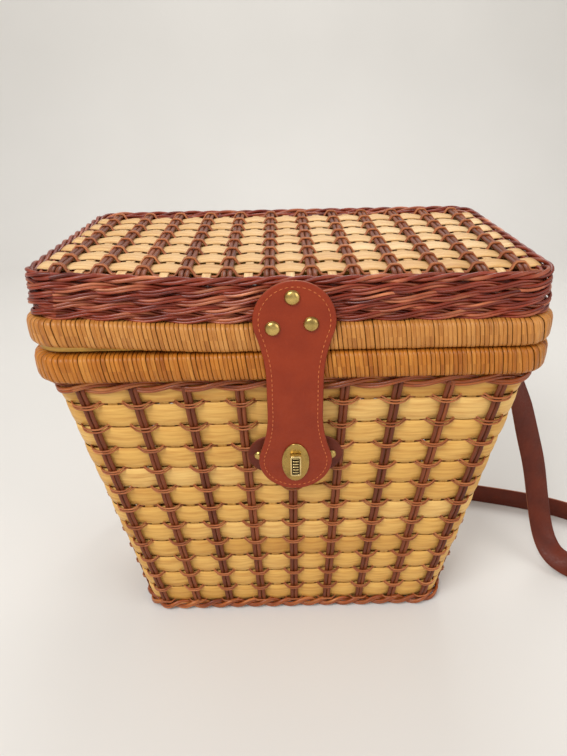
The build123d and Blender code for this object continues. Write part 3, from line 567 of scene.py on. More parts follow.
def make_wall_weavers():
    piece = Piece()
    for edge in range(ROW_COUNT + 1):
        for side in (-1, 1):
            z_mid = FIRST_ROW_Z + edge * ROW_PITCH + side * WEAVER_APART
            z_mid = min(max(z_mid, FIRST_ROW_Z + 1), WALL_TOP_Z - 2)
            sag = WEAVER_SAG + chance.uniform(-0.5, 0.5)
            if edge in (0, ROW_COUNT):
                sag = 0.0

            def out_of(phase):
                return WEAVER_IN + (WEAVER_OUT - WEAVER_IN) * near_stake(phase, *WEAVER_REACH)

            def rise_of(phase):
                return 1.4 - sag * near_stake(phase, *SAG_REACH)

            wall_strand(piece, z_mid, circle(WEAVER_T, WEAVER_T, 6), out_of, rise_of)
    piece.build("wall_weavers", [WEAVER_ROD], "basket")


def wall_line(side, stake, z, out):
    """A line up the wall at a number of stakes from a side's middle: its points and normals."""
    long_reach, short_reach = side_reach(z)
    own = long_reach if side % 2 == 0 else short_reach
    corner = CORNER_PHASE - long_reach - short_reach
    beyond = (abs(stake) - own) / corner
    turn, turned = (2 * side + 1, beyond) if stake > 0 else ((2 * side - 1) % 8, 1 - beyond)
    part = np.where(beyond > 0, turn, 2 * side)
    share = np.where(beyond > 0, turned, (stake / own + 1) / 2)
    point, normal = ring_at(*wall_ring(z), part, share)
    return point + normal * np.broadcast_to(out, z.shape)[:, None], normal


def make_stakes():
    """Pairs of brown rods, with a small dip where each pair of weavers pulls them in."""
    piece = Piece()
    z = np.arange(STAKE_FOOT, WALL_TOP_Z - 4.0, 4.0)
    for side, most in enumerate(SIDE_STAKES):
        for stake in range(-most, most + 1):
            for rod in (-1, 1):
                pull = 0.35 * np.cos(2 * pi * (z - FIRST_ROW_Z) / ROW_PITCH)
                drift = chance.uniform(-0.3, 0.3) * np.sin(z / 60 + chance.uniform(0, 6))
                point, normal = wall_line(side, stake, z, STAKE_OUT - pull)
                across = np.stack([-normal[:, 1], normal[:, 0]], -1)
                point = point + across * (rod * ROD_W * 0.5 + drift)[:, None]
                grid = tube(upright_points(point, z), upright_points(normal, 0.0), circle(ROD_W, ROD_T))
                piece.strand(grid)
    nodes = ("front_stakes", "back_stakes", "left_stakes", "right_stakes")
    piece.build("outer_stakes", [BROWN_ROD], "basket", *nodes)


def make_ribs():
    """Flat natural ribs that go behind each splint row and over the weavers between two rows."""
    piece = Piece()
    z = np.arange(RIB_FOOT, WALL_TOP_Z - 2.0, 2.0)
    for side, most in enumerate(SIDE_STAKES):
        for number in range(2 * most):
            out = -0.6 + 0.4 * np.cos(2 * pi * (z - FIRST_ROW_Z) / ROW_PITCH)
            point, normal = wall_line(side, number - most + 0.5, z, out)
            piece.strand(tube(upright_points(point, z), upright_points(normal, 0.0), flat(RIB_W, RIB_T)))
    piece.build("natural_ribs", [SPLINT], "basket", "inner_ribs")


def twist(piece, ring, z, strands, turns, rise, depth, thick, lean=0.0, phase=0.0, double=0.0):
    """Rods twisted about each other round a ring. double is the spacing of rods laid in pairs."""
    length = ring_lengths(*ring).sum()
    distance = np.arange(turns * 18) * length / (turns * 18)
    point, normal = ring_by_length(ring, distance)
    for strand in range(strands):
        start = 2 * pi * strand / strands + phase
        for pair in ((-0.5, 0.5) if double else (0.0,)):
            angle = 2 * pi * distance / length * turns + start
            wander = 0.12 * thick * np.sin(angle * 0.5 + chance.uniform(0, 6) - start * 0.5)
            up = rise * np.sin(angle) + pair * double + wander * np.sin(2 * pi * distance / length)
            out = depth * np.cos(angle) + lean * up
            path = upright_points(point + normal * out[:, None], z + up)
            grid = tube(path, upright_points(normal, 0.0), circle(thick, thick), loop=True)
            piece.strand(grid, loop=True)


def make_border(name, node, z, out, turns, rise):
    """A twined border round the wall, of two pairs of rods that slant up to the right."""
    piece = Piece()
    ring = grown(wall_ring(z), out)
    twist(piece, ring, z, 2, turns, rise, depth=2.2, thick=2.9, lean=WALL_LEAN, double=2.7)
    piece.build(name, [BORDER_ROD], "basket", node)


def make_rim_wrap(piece, name, material, wrap, body, node):
    """Split cane wound closely round a rim, turn by turn."""
    ring = grown(RIM_RING, -RIM_T / 2)
    length = ring_lengths(*ring).sum()
    count = int(length / WRAP_PITCH)
    turn = np.linspace(0, 2 * pi, 20, endpoint=False)
    out = np.sign(np.cos(turn)) * np.abs(np.cos(turn)) ** 0.45
    up = np.sign(np.sin(turn)) * np.abs(np.sin(turn)) ** 0.5
    z_low, height = wrap
    for number in range(count):
        start = (number + chance.uniform(-0.06, 0.06)) * length / count
        half = length / count * chance.uniform(0.46, 0.53)
        proud = chance.uniform(-0.2, 0.15)
        section = ((-half, -0.3), (-half * 0.75, 0.2), (half * 0.75, 0.2), (half, -0.3))
        across, lift = np.array(section).T
        distance = start + across[None, :] - 1.5 * up[:, None]
        skin = proud - 0.4 + lift[None, :]
        point, normal = ring_by_length(ring, distance)
        point = point + normal * (out[:, None] * (RIM_T / 2 + skin))[..., None]
        z = z_low + height / 2 + up[:, None] * (height / 2 + skin)
        piece.strand(upright_points(point, z), loop=True)
    piece.build(name, [material], body, node)


def lid_sits(grid):
    """Lifts the lid's weave towards its left front corner, where the lid stands a little open."""
    lifted = grid.copy()
    left = np.clip((-grid[..., 0] - LID_GAP_FROM) / LID_GAP_RUN, 0, 1)
    front = np.clip((RIM_D / 2 - grid[..., 1]) / RIM_D, 0, 1)
    lifted[..., 2] += LID_GAP_LEFT * left * left * (3 - 2 * left) * front
    return lifted


class LidPiece(Piece):
    """A piece of the lid's weave, which follows the way the lid sits."""

    def strand(self, grid, loop=False, trim=()):
        super().strand(lid_sits(np.asarray(grid, float)), loop, trim)


def band(piece, inset, z_mid, height, thick):
    """A flat band, its middle at a distance inside the rim's outer face."""
    ring = grown(RIM_RING, -inset)
    steps = 240
    distance = np.arange(steps) * ring_lengths(*ring).sum() / steps
    point, normal = ring_by_length(ring, distance)
    section = flat(height, thick)
    path = upright_points(point, z_mid)
    piece.strand(tube(path, upright_points(normal, 0.0), section, loop=True), loop=True)


def make_hoops(name, wrap, body, node):
    """The two hoops inside a wrapped rim."""
    piece = Piece()
    z_low, height = wrap
    for inset, thick in ((9.9, 7.8), (20.1, 3.8)):
        band(piece, inset, z_low + height / 2, height - 5.0, thick)
    piece.build(name, [WOOD], body, node)


def make_lid_side():
    """Rows of rods twined in pairs, with a band behind them that closes their gaps."""
    piece = LidPiece()
    ring = grown(RIM_RING, -LID_SIDE_IN - 3.7)
    for row in range(LID_ROWS):
        z = LID_SIDE_LOW + (row + 0.5) * LID_ROW_PITCH
        start = chance.uniform(0, 2 * pi)
        twist(piece, ring, z, 2, 20, rise=2.3, depth=2.3, thick=2.5, phase=start, double=2.3)
    height = LID_ROWS * LID_ROW_PITCH
    band(piece, LID_SIDE_IN + 8.2, LID_SIDE_LOW + height / 2, height - 0.6, 1.6)
    piece.build("lid_side_rods", [DARK_ROD_PAINTED_HIGHLIGHT], "lid", "lid_side_weave")


def make_lid_splints():
    piece = LidPiece()
    x = np.arange(-LID_SPLINT_END, LID_SPLINT_END + 0.1, 3.9)
    for row in range(LID_SPLINT_COUNT):
        y = (row - (LID_SPLINT_COUNT - 1) / 2) * LID_PITCH + chance.uniform(-0.4, 0.4)
        phase = x / COLUMN_PITCH + 0.5
        z = LID_SPLINT_Z + 1.7 * (0.5 - 0.5 * np.cos(2 * pi * phase))
        path = np.stack([x, y + 0.3 * np.sin(x / 50 + row), z], -1)
        piece.strand(tube(path, (0, 0, 1), flat(LID_SPLINT_W, SPLINT_T, 0.7)))
    piece.build("lid_top_splints", [PALE_SPLINT], "lid", "lid_splints")


def make_lid_weavers():
    """Pairs of thin rods between the splints, arched over each column."""
    piece = LidPiece()
    x = np.arange(-LID_WEAVER_END, LID_WEAVER_END + 0.1, 2.0)
    over = near_stake(x / COLUMN_PITCH + 0.5, *LID_WEAVER_REACH)
    for row in range(LID_SPLINT_COUNT + 1):
        for side in (-1, 1):
            y = (row - LID_SPLINT_COUNT / 2) * LID_PITCH + side * 1.0
            y = min(max(y, -LID_WEAVER_SIDE), LID_WEAVER_SIDE)
            arch = chance.uniform(2.2, 3.0)
            path = np.stack([x, y - 0.8 + arch * over, LID_WEAVER_Z + LID_WEAVER_RISE * over], -1)
            piece.strand(tube(path, (0, 0, 1), circle(WEAVER_T, WEAVER_T, 6)))
    piece.build("lid_top_weavers", [WEAVER_ROD], "lid", "lid_weavers")


def make_lid_columns():
    """Pairs of brown rods across the lid, bent down behind its edge at both ends."""
    piece = LidPiece()
    for column in range(COLUMN_COUNT):
        x = (column - (COLUMN_COUNT - 1) / 2) * COLUMN_PITCH
        reach = COLUMN_END if abs(x) < CORNER_COLUMN_X else CORNER_COLUMN_END
        y = np.linspace(-reach, reach, 60)
        bend, drop = 9, 4.5
        down = np.clip((np.abs(y) - (reach - bend)) / bend, 0, 1) ** 2 * drop
        for rod in (-1, 1):
            drift = chance.uniform(-0.4, 0.4) * np.sin(y / 40 + chance.uniform(0, 6))
            path = np.stack([x + rod * 2.05 + drift, y, COLUMN_Z - down], -1)
            piece.strand(tube(path, (0, 0, 1), circle(4.1, 3.3)))
    piece.build("lid_top_columns", [BROWN_ROD], "lid", "lid_columns")


def make_lid_ribs():
    piece = LidPiece()
    y = np.linspace(-LID_RIB_END, LID_RIB_END, 118)
    for rib in range(COLUMN_COUNT - 1):
        x = (rib - (COLUMN_COUNT - 2) / 2) * COLUMN_PITCH
        z = LID_RIB_Z + 0.9 * np.cos(2 * pi * (y / LID_PITCH + 0.5))
        path = np.stack([np.full_like(y, x), y, z], -1)
        piece.strand(tube(path, (0, 0, 1), flat(7.0, 1.3)))
    piece.build("lid_top_ribs", [PALE_SPLINT], "lid", "lid_ribs")


def make_lid_edge():
    """The twist round the lid's top edge, and a flatter one inside it."""
    piece = LidPiece()
    twist(piece, grown(RIM_RING, -LID_EDGE_IN), LID_EDGE_Z, 3, 22, rise=2.0, depth=1.9, thick=3.3)
    twist(piece, grown(RIM_RING, -INNER_EDGE_IN), INNER_EDGE_Z, 2, 22, rise=1.2, depth=2.2, thick=3.0)
    piece.build("lid_edge_twist", [DARK_ROD_PAINTED_HIGHLIGHT], "lid", "lid_edge_border")


# The closure tab and what is sewn or riveted
def tab_half_width(z):
    """Half the width of the keyhole outline at height z."""
    neck_x = TAB_HALF_WAIST + TAB_NECK_R
    for middle, radius, way in ((TAB_TOP - TAB_UPPER_R, TAB_UPPER_R, -1), (LOCK_Z, TAB_LOWER_R, 1)):
        off = way * (z - middle)
        neck = sqrt((radius + TAB_NECK_R) ** 2 - neck_x ** 2)
        if off <= neck * radius / (radius + TAB_NECK_R):
            return sqrt(max(radius ** 2 - off ** 2, 0.0))
        if off < neck:
            return neck_x - sqrt(TAB_NECK_R ** 2 - (neck - off) ** 2)
    return TAB_HALF_WAIST


def rounded_half(off, half_w, half_h, corner):
    """Half the width of a rounded rectangle, at a distance off its middle."""
    beyond = max(abs(off) - (half_h - corner), 0.0)
    return half_w - corner + sqrt(max(corner ** 2 - beyond ** 2, 0.0))


def rounded_levels(low, low_r, high, high_r, step):
    """Heights from one round end to another, closer together at both ends."""
    bottom = [low + low_r - low_r * cos(a) for a in np.linspace(0.07, pi / 2, 14)]
    top = [high - high_r + high_r * sin(a) for a in np.linspace(0, pi / 2 - 0.07, 14)]
    middle = list(np.arange(bottom[-1] + step, top[0] - step / 2, step))
    return np.array(bottom + middle + top)


# Places across a sheet, as shares of its half width, and the faces of a sheet's strand that are its cut edge
HALF_ACROSS = [0.22, 0.45, 0.65, 0.8, 0.9, 0.95, 0.985, 1]
ACROSS = np.array([-share for share in reversed(HALF_ACROSS)] + [0] + HALF_ACROSS)
SHEET_TRIM = (len(ACROSS) - 1, 2 * len(ACROSS) - 1)


def sheet(levels, half_width, thick, edge_r=1.2):
    """A flat sheet with rounded edges: across, along and its front and back depth, as a grid."""
    widths = np.array([half_width(z) for z in levels])
    border = np.concatenate([np.stack([widths, levels], -1), np.stack([-widths, levels], -1)])
    ends = np.array([[0.0, levels[0]], [0.0, levels[-1]]])
    border = np.concatenate([border, ends])
    across = widths[:, None] * ACROSS[None, :]
    along = np.broadcast_to(levels[:, None], across.shape)
    gap = np.hypot(across[..., None] - border[:, 0], along[..., None] - border[:, 1]).min(axis=-1)
    eased = np.clip(gap / edge_r, 0, 1)
    round_off = (1 - np.sqrt(1 - (1 - eased) ** 2)) * edge_r
    return across, along, thick - round_off, round_off * 0.6


def add_sheet(piece, front, back):
    """Joins a front and a back grid into one closed strand."""
    piece.strand(np.concatenate([front, back[:, ::-1]], axis=1), trim=SHEET_TRIM)


def tab_back(z):
    """The Y of the tab's inner face at height z."""
    soft = 5.0
    return TAB_BACK_Y + TAB_LEAN * soft * np.log1p(np.exp(np.clip((BEND_Z - z) / soft, -40, 40)))


def make_tab():
    levels = rounded_levels(LOCK_Z - TAB_LOWER_R, TAB_LOWER_R, TAB_TOP, TAB_UPPER_R, 1.8)
    across, along, front, back = sheet(levels, tab_half_width, LEATHER_T)
    base = tab_back(along)
    piece = Piece()
    add_sheet(piece, *(np.stack([TAB_X + across, base - depth, along], -1) for depth in (front, back)))
    tab = piece.build("closure_tab", [TAB_LEATHER, LEATHER_EDGE], None, "tab_root", "tab_flap")
    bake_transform(tab)


def make_tab_stitches():
    """Stitches that follow the tab's outline, a little inside its edge."""
    levels = rounded_levels(LOCK_Z - TAB_LOWER_R, TAB_LOWER_R, TAB_TOP, TAB_UPPER_R, 1.0)
    widths = np.array([tab_half_width(z) for z in levels])
    right = np.stack([widths, levels], -1)
    line = np.concatenate([right, right[::-1] * (-1, 1)])
    along = np.roll(line, -1, axis=0) - np.roll(line, 1, axis=0)
    along = along / np.linalg.norm(along, axis=1, keepdims=True)
    line = line + np.stack([-along[:, 1], along[:, 0]], -1) * STITCH_IN
    line = closed(line)
    far = run_length(line)
    piece = Piece()
    count = int(far[-1] / STITCH_STEP)
    swell = ((0.45, -0.35), (0.9, 0.0), (1.0, 0.12), (0.9, 0.0), (0.45, -0.35))
    for number in range(count):
        spots = number * far[-1] / count + np.linspace(0, STITCH_L, 5)
        x = np.interp(spots, far, line[:, 0])
        z = np.interp(spots, far, line[:, 1])
        lift = np.array([rise for _, rise in swell])
        path = np.stack([TAB_X + x, tab_back(z) - LEATHER_T - 0.05 - lift, z], -1)
        section = np.array([circle(0.8 * size, 0.8 * size, 6) for size, _ in swell])
        piece.strand(tube(path, (0, -1, 0), section))
    stitches = piece.build("tab_stitches", [ORANGE_THREAD], None)
    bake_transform(stitches)


def on_plane(place, out, spots):
    """Points given as across, along and out, set on the leaning plane that faces out."""
    spots = np.array(spots, float)
    up = np.array((0, out[2], -out[1]))
    return place + spots[..., :1] * (1, 0, 0) + spots[..., 1:2] * up + spots[..., 2:] * out


def make_patch():
    """The stadium of leather behind the lock, its long way across the basket."""
    radius = PATCH_H / 2
    levels = rounded_levels(-PATCH_W / 2, radius, PATCH_W / 2, radius, 3.0)

    def half_width(spot):
        return rounded_half(spot, radius, PATCH_W / 2, radius)

    across, along, front, back = sheet(levels, half_width, PATCH_T, 0.9)
    piece = Piece()
    faces = (np.stack([along, across, depth], -1) for depth in (front, back))
    add_sheet(piece, *(on_plane(PATCH_PLACE, PATCH_OUT, face) for face in faces))
    piece.build("patch", [PATCH_LEATHER, LEATHER_EDGE], "basket", "lock_patch")


def make_hinges():
    """Two strips of leather across the line between the lid and the basket."""
    piece = Piece()
    low, high = HINGE_Z - HINGE_HALF_H, HINGE_Z + HINGE_HALF_H
    levels = rounded_levels(low, HINGE_CORNER, high, HINGE_CORNER, 1.5)

    def half_width(z):
        return rounded_half(z - HINGE_Z, HINGE_HALF_W, HINGE_HALF_H, HINGE_CORNER)

    across, along, front, back = sheet(levels, half_width, HINGE_T, 0.9)
    base = RIM_D / 2 + 0.2
    for side in (-1, 1):
        x = side * HINGE_X + across
        add_sheet(piece, *(np.stack([x, base + depth, along], -1) for depth in (front, back)))
    hinges = piece.build(
        "hinge_straps", [TAB_LEATHER, LEATHER_EDGE], None, "hinge_upper_leaves", "hinge_lower_leaves"
    )
    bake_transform(hinges)


# The lock, in its own frame on the tab: across, along and out from the tab's inner face
LOCK_PLACE = np.array((TAB_X, -121.863, LOCK_Z))
LOCK_OUT = np.array((0, -0.990598, -0.136807))
KNOB_FOOT = LEATHER_T + 2.0
KNOB_FACE = KNOB_FOOT + 4.2
WINDOW_FLOOR = KNOB_FACE - 1.7
WINDOW_HALF_W = 3.3
WINDOW_HALF_H = 9.4
KNOB_HALF_W = 4.7
KNOB_HALF_H = 11.2
WINDOW_RIBS = 6


def on_lock(rings):
    return on_plane(LOCK_PLACE, LOCK_OUT, rings)


def oval(half_w, half_h, out):
    turns = np.linspace(0, 2 * pi, 48, False)
    return [(half_w * cos(a), half_h * sin(a), out) for a in turns]


def soft_box(half_w, half_h, radius, out):
    """An outline with rounded corners."""
    points = []
    for start, sx, sy in ((0, 1, 1), (0.5, -1, 1), (1, -1, -1), (1.5, 1, -1)):
        for a in np.linspace(start * pi, (start + 0.5) * pi, 6):
            x = sx * (half_w - radius) + radius * cos(a)
            y = sy * (half_h - radius) + radius * sin(a)
            points.append((x, y, out))
    return points


def make_lock():
    """An oval plate, and a knob with a sunken ribbed window, a shaft and a cam behind the tab."""
    plate = Piece()
    low = LEATHER_T + 0.03
    steps = ((11.6, 0.0), (11.75, 0.2), (11.75, 0.8), (11.5, 1.15), (10.9, 1.45), (10.0, 1.6), (9.0, 1.62))
    plate.strand(on_lock([oval(half, half + 9.25, low + up) for half, up in steps]))
    plate.build("lock_plate", [PLATE_BRASS], "tab", "tab_plate")
    knob = Piece()
    wall, tall = WINDOW_HALF_W, WINDOW_HALF_H
    outside = [(0.2, KNOB_FOOT), (0, KNOB_FOOT + 0.2), (0, KNOB_FACE - 0.6)]
    outside += [(0.15, KNOB_FACE - 0.2), (0.5, KNOB_FACE)]
    window_edge = ((0.35, 0), (0.1, 0.1), (0, 0.4))
    rings = [soft_box(KNOB_HALF_W - ease, KNOB_HALF_H - ease, 1.8 - ease, out) for ease, out in outside]
    rings += [soft_box(wall + more, tall + more, 1.0 + more, KNOB_FACE - fall) for more, fall in window_edge]
    rings += [soft_box(wall, tall, 1.0, WINDOW_FLOOR + up) for up in (0.2, 0.0)]
    knob.strand(on_lock(rings))
    for number in range(WINDOW_RIBS):
        along = (number - (WINDOW_RIBS - 1) / 2) * 2 * tall / WINDOW_RIBS
        path = on_lock([(x, along, WINDOW_FLOOR + 0.25) for x in (-wall, -wall / 2, 0, wall / 2, wall)])
        knob.strand(tube(path, LOCK_OUT, circle(1.1, 1.2)))
    knob.strand(on_lock([soft_box(2.2, 2.2, 2.1, out) for out in (-1.0, KNOB_FOOT + 0.1)]))
    cam = ((0.25, -2.1), (0, -1.85), (0, -0.55), (0.25, -0.3))
    knob.strand(on_lock([soft_box(2.3 - ease, 6.0 - ease, 1.0 - ease, out) for ease, out in cam]))
    knob.build("lock_knob", [BRASS_PAINTED_HIGHLIGHT], "knob", "turn_knob")
    floor = Piece()
    cup = ((0, WINDOW_FLOOR - 0.05), (0, KNOB_FACE - 0.3), (0.4, KNOB_FACE - 0.3), (0.4, WINDOW_FLOOR + 0.06))
    floor.strand(on_lock([soft_box(wall - ease, tall - ease, 1.0 - ease, out) for ease, out in cup]))
    floor.build("lock_window", [DARK_WINDOW_BRASS], "knob")


# Rivets
def lathe(piece, profile, origin, axis, count=28):
    """A turned solid, from (radius, height) points that start and end near the axis."""
    turn = Vector(axis).to_track_quat("Z", "Y").to_matrix()
    angles = np.linspace(0, 2 * pi, count, False)
    rings = []
    for radius, height in profile:
        spots = [Vector((radius * cos(a), radius * sin(a), height)) for a in angles]
        rings.append([tuple(turn @ spot + Vector(origin)) for spot in spots])
    piece.strand(np.array(rings))


def rivet(piece, origin, axis, head, reach):
    """A domed head with a small collar, a shank and a washer inside."""
    radius, height = head
    angles = np.linspace(0.05, pi / 2 - 0.06, 9)
    dome = [(radius * 0.93 * cos(a), 0.5 + (height - 0.5) * sin(a)) for a in angles]
    collar = [(0.2, -0.25), (radius * 0.97, -0.25), (radius, 0.1), (radius * 0.97, 0.42)]
    lathe(piece, collar + dome, origin, axis)
    lathe(piece, [(0.2, -reach), (1.75, -reach), (1.8, -0.2), (0.2, -0.2)], origin, axis, 16)
    washer = [(0.2, -0.1), (2.4, -0.35), (4.7, 0), (5.0, 0.3), (4.9, 0.9), (0.2, 0.9)]
    lathe(piece, [(across, up - reach) for across, up in washer], origin, axis, 24)


def rivet_set(name, body, node, head, places):
    """Rivets of one kind, from places given as origin, axis and reach of the shank."""
    piece = Piece()
    for origin, axis, reach in places:
        rivet(piece, origin, axis, head, reach)
    piece.build(name, [BRASS], body, node)


def make_rivets():
    face = TAB_BACK_Y - LEATHER_T - 0.02
    places = []
    for across, down, reach in TAB_RIVETS:
        places.append(((TAB_X + across, face, TAB_TOP - down), (0, -1, 0), reach))
    rivet_set("tab_rivet_set", "lid", "tab_rivets", BIG_RIVET, places)
    off, reach = PATCH_RIVET
    spots = [on_plane(PATCH_PLACE, PATCH_OUT, (side * off, 0, PATCH_T + 0.03)) for side in (-1, 1)]
    places = [(spot, PATCH_OUT, reach) for spot in spots]
    rivet_set("patch_rivet_set", "basket", "patch_rivets", SMALL_RIVET, places)
    off, rise, reach = HINGE_RIVET
    for way, body, node in ((1, "lid", "hinge_upper_rivets"), (-1, "basket", "hinge_lower_rivets")):
        y, z = RIM_D / 2 + HINGE_T + 0.22, HINGE_Z + way * rise
        spots = [(side * HINGE_X + x, y, z) for side in (-1, 1) for x in (-off, off)]
        rivet_set(node + "_set", body, node, SMALL_RIVET, [(spot, (0, 1, 0), reach) for spot in spots])
    lean = atan(WALL_LEAN)
    places = []
    for side in (-1, 1):
        normal = Vector((side * cos(lean), 0, -sin(lean)))
        spot = Vector((side * ANCHOR_X, ANCHOR_Y, ANCHOR_Z)) + normal * (STRAP_T / 2 + 0.02)
        places.append((spot, normal, STRAP_REACH))
    rivet_set("strap_rivet_set", "basket", "strap_rivets", BIG_RIVET, places)


# Shoulder strap: the route of part.py, with the way its width faces at each point, in degrees
ANCHOR_Z = BASE_H - 58.0
ANCHOR_Y = 10.5
STRAP_ON_EDGE = 12.8
ANCHOR_X = wall_ring(ANCHOR_Z)[0] + 6.6 / cos(atan(WALL_LEAN))
END_Z = ANCHOR_Z - STRAP_W * 0.56
FREE_Z = ANCHOR_Z + STRAP_W * 0.5
END_X = ANCHOR_X - (ANCHOR_Z - END_Z) * WALL_LEAN
FREE_X = ANCHOR_X + (FREE_Z - ANCHOR_Z) * WALL_LEAN
UNDER_RIM = WALL_TOP_Z - 8.0

# From the anchor: right, back and up from the rim's underside, then the turn and lift of the strap's width
HANGING = (
    (5, 0, -5, 0, 0), (14, 0, 0, 0, 0), (24, 0, -4, 4, 0), (31, 0, -18, 10, 0), (35, 0, -40, 26, 0),
    (39, 0, -62, 44, 0), (46, 0, -82, 60, 0), (54, 0, -102, 73, 0), (64, -2, -134, 82, 0),
    (76, -5, -170, 85, 0), (85, -10, -212, 85, 0), (90, -17, -240, 85, 3), (94, -28, -260, 84, 9),
    (100, -42, -272, 84, 20), (111, -55, -275, 84, 40), (125, -64, -276, 84, 62),
    (141, -68, -276.5, 84, 80),
)
# The bend on edge on the floor, right and back from the anchor, and the stretch behind the basket
BEND = (
    (156, -68), (171, -62), (183, -50), (190, -33), (190, -13), (183, 8), (168, 28), (142, 46),
    (108, 61), (68, 74), (20, 88),
)
BEHIND = ((130, 110), (75, 117), (18, 120), (-40, 125), (-95, 135), (-142, 139))
# X, Y, Z and lift on the way up, then left, back and up from the left anchor and the rim, and the lift
RISING = (
    (-172, 130, STRAP_ON_EDGE + 4, 88), (-189, 113, STRAP_ON_EDGE + 16, 80), (-198, 95, 52, 64),
    (-204, 77, 86, 44), (-209, 61, 122, 30), (-214, 47, 158, 20), (-218, 35, 194, 12), (-220, 26, 226, 7),
)
HANGING_LEFT = ((26, 8, -44, 3), (23, 3, -18, 0), (19, 0, -5, 0), (11, 0, 0, 0), (4.5, 0, -5, 0))
RIVETED = ((END_X, END_Z), (ANCHOR_X, ANCHOR_Z), (FREE_X, FREE_Z))

STRAP_ROUTE = [(x, ANCHOR_Y, z, 0, 0) for x, z in RIVETED]
STRAP_ROUTE += [(ANCHOR_X + x, ANCHOR_Y + y, UNDER_RIM + z, turn, lift) for x, y, z, turn, lift in HANGING]
STRAP_ROUTE += [(ANCHOR_X + x, ANCHOR_Y + y, STRAP_ON_EDGE, 0, 90) for x, y in BEND]
STRAP_ROUTE += [(x, y, STRAP_ON_EDGE, 0, 90) for x, y in BEHIND]
STRAP_ROUTE += [(x, y, z, 0, lift) for x, y, z, lift in RISING]
STRAP_ROUTE += [(-ANCHOR_X - x, ANCHOR_Y + y, UNDER_RIM + z, 0, lift) for x, y, z, lift in HANGING_LEFT]
STRAP_ROUTE += [(-x, ANCHOR_Y, z, 0, 0) for x, z in reversed(RIVETED)]


def spline_points(route, fineness):
    """Points along the smooth line that the route steers, in metres."""
    curve = bpy.data.curves.new("route", "CURVE")
    curve.dimensions = "3D"
    curve.resolution_u = fineness
    spline = curve.splines.new("NURBS")
    spline.points.add(len(route) - 1)
    for point, spot in zip(spline.points, route):
        point.co = (spot[0] * MM, spot[1] * MM, spot[2] * MM, 1)
    spline.order_u = 3
    spline.use_endpoint_u = True
    holder = new_object("route", curve)
    bpy.context.view_layer.update()
    mesh = bpy.data.meshes.new_from_object(holder)
    points = np.array([tuple(v.co) for v in mesh.vertices])
    bpy.data.objects.remove(holder)
    bpy.data.curves.remove(curve)
    bpy.data.meshes.remove(mesh)
    return points


def make_strap():
    line = spline_points(STRAP_ROUTE, 8)
    route = np.array(STRAP_ROUTE, float)
    turn, lift = np.radians(route[:, 3:]).T
    wide = np.stack([np.cos(lift) * np.sin(turn), np.cos(lift) * np.cos(turn), np.sin(lift)], -1)
    run = run_length(route[:, :3])
    far = run_length(line)
    share = far / far[-1] * run[-1]
    hint = np.stack([np.interp(share, run, wide[:, k]) for k in range(3)], -1)
    path = line / MM
    along = np.gradient(path, axis=0)
    face = np.cross(along, hint)
    from_end = np.minimum(far, far[-1] - far) / MM
    end_round = 9.0
    narrow = np.sqrt(np.clip(1 - (1 - np.clip(from_end / end_round, 0, 1)) ** 2, 0.09, 1))
    half, thick = STRAP_W / 2, STRAP_T / 2
    section = [(-half, -thick * 0.5), (-half + 0.7, -thick), (0, -thick * 1.05), (half - 0.7, -thick)]
    section += [(half, -thick * 0.5)]
    section += [(-across, -out) for across, out in section]
    sections = np.array(section)[None] * np.stack([narrow, np.ones_like(narrow)], -1)[:, None]
    piece = Piece()
    piece.strand(tube(path, face, sections), trim=(4, 9))
    strap = piece.build("strap", [STRAP_LEATHER, LEATHER_EDGE], "basket", "shoulder_strap")


# CAD nodes that stay, with their own materials
def paint_nodes():
    looks = (
        ("locating_lip", LIP_WOOD_PAINTED_LIGHT),
        ("bottom_splints", FLOOR_SPLINT),
        ("bottom_stakes", FLOOR_ROD),
        ("lock_base", BRASS),
    )
    for node, material in looks:
        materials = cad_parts[node].data.materials
        materials.clear()
        materials.append(material)


# Camera, light and ground
CAMERA_PLACE = Vector((-8.9, -556.0, 516.0))
CAMERA_PITCH = 0.4672
CAMERA_YAW = 0.0045
CAMERA_ROLL = -0.020
CAMERA_FOCUS = 605.4     # in pixels, as the height of the picture
PHOTO_H = 756.0


def make_camera():
    data = bpy.data.cameras.new("camera")
    camera = new_object("camera", data)
    data.sensor_fit = "VERTICAL"
    data.angle_y = 2 * atan(PHOTO_H / 2 / CAMERA_FOCUS)
    turn = Matrix.Rotation(-CAMERA_YAW, 4, "Z") @ Matrix.Rotation(pi / 2 - CAMERA_PITCH, 4, "X")
    roll = Matrix.Rotation(CAMERA_ROLL, 4, "Z")
    camera.matrix_world = Matrix.Translation(CAMERA_PLACE * MM) @ turn @ roll
    data.clip_start = 0.01
    bpy.context.scene.camera = camera


def make_lamp(name, place, aim, size, power):
    data = bpy.data.lights.new(name, "AREA")
    data.shape = "SQUARE"
    data.size = size
    data.energy = power
    lamp = new_object(name, data)
    lamp.location = place
    lamp.rotation_euler = (Vector(aim) - Vector(place)).to_track_quat("-Z", "Y").to_euler()


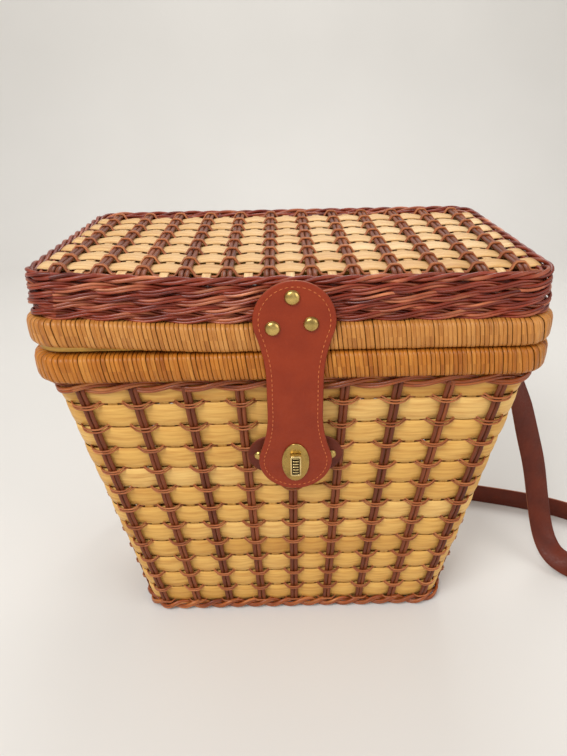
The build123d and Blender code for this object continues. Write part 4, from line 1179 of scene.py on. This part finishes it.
def make_ground():
    """A floor that curves up into a backdrop, far behind the basket."""
    front, back, radius, top, half = -4.0, 1.2, 0.6, 3.5, 5.0
    below = 0.0004
    rows = [(front, 0.0), (back, 0.0)]
    rows += [(back + radius * sin(a), radius - radius * cos(a)) for a in np.linspace(0.15, pi / 2, 10)]
    rows += [(1.8, top)]
    mesh = bpy.data.meshes.new("ground")
    points = [(x, y, z - below) for y, z in rows for x in (-half, half)]
    faces = [(2 * i, 2 * i + 1, 2 * i + 3, 2 * i + 2) for i in range(len(rows) - 1)]
    mesh.from_pydata(points, [], faces)
    for face in mesh.polygons:
        face.use_smooth = True
    mesh.materials.append(plain_ground("ground", srgb(222, 219, 214)))
    ground = new_object("ground", mesh)


def make_light():
    world = bpy.data.worlds.new("studio")
    world.use_nodes = True
    background = world.node_tree.nodes["Background"]
    background.inputs["Color"].default_value = (1.0, 0.98, 0.95, 1)
    background.inputs["Strength"].default_value = 0.55
    bpy.context.scene.world = world
    make_lamp("key", (-0.9, -1.3, 1.9), (0, 0, 0.2), 1.0, 34)
    make_lamp("fill", (1.7, -1.2, 1.1), (0, 0, 0.15), 1.4, 12)
    make_lamp("back", (0.2, 1.1, 1.7), (0, 0, 0.35), 0.9, 12)
    bpy.context.scene.view_settings.view_transform = "Standard"


make_camera()
make_strap()
make_wall_splints()
make_wall_weavers()
make_stakes()
make_ribs()
make_border("foot_twist", "foot_border", FOOT_BORDER_Z, out=4.5, turns=24, rise=3.3)
make_border("border_twist", "top_border", BORDER_Z, out=3.9, turns=17, rise=3.4)
make_rim_wrap(Piece(), "base_rim_cane", BASE_WRAP_CANE, BASE_WRAP, "basket", "base_rim_wrap")
make_hoops("base_hoop_bands", BASE_WRAP, "basket", "base_rim_hoops")
make_rim_wrap(LidPiece(), "lid_rim_cane", CANE_WRAP, LID_WRAP, "lid", "lid_rim_wrap")
make_hoops("lid_hoop_bands", LID_WRAP, "lid", "lid_rim_hoops")
make_lid_side()
make_lid_splints()
make_lid_weavers()
make_lid_columns()
make_lid_ribs()
make_lid_edge()
make_tab()
make_tab_stitches()
make_patch()
make_lock()
make_hinges()
make_rivets()
paint_nodes()
make_ground()
make_light()
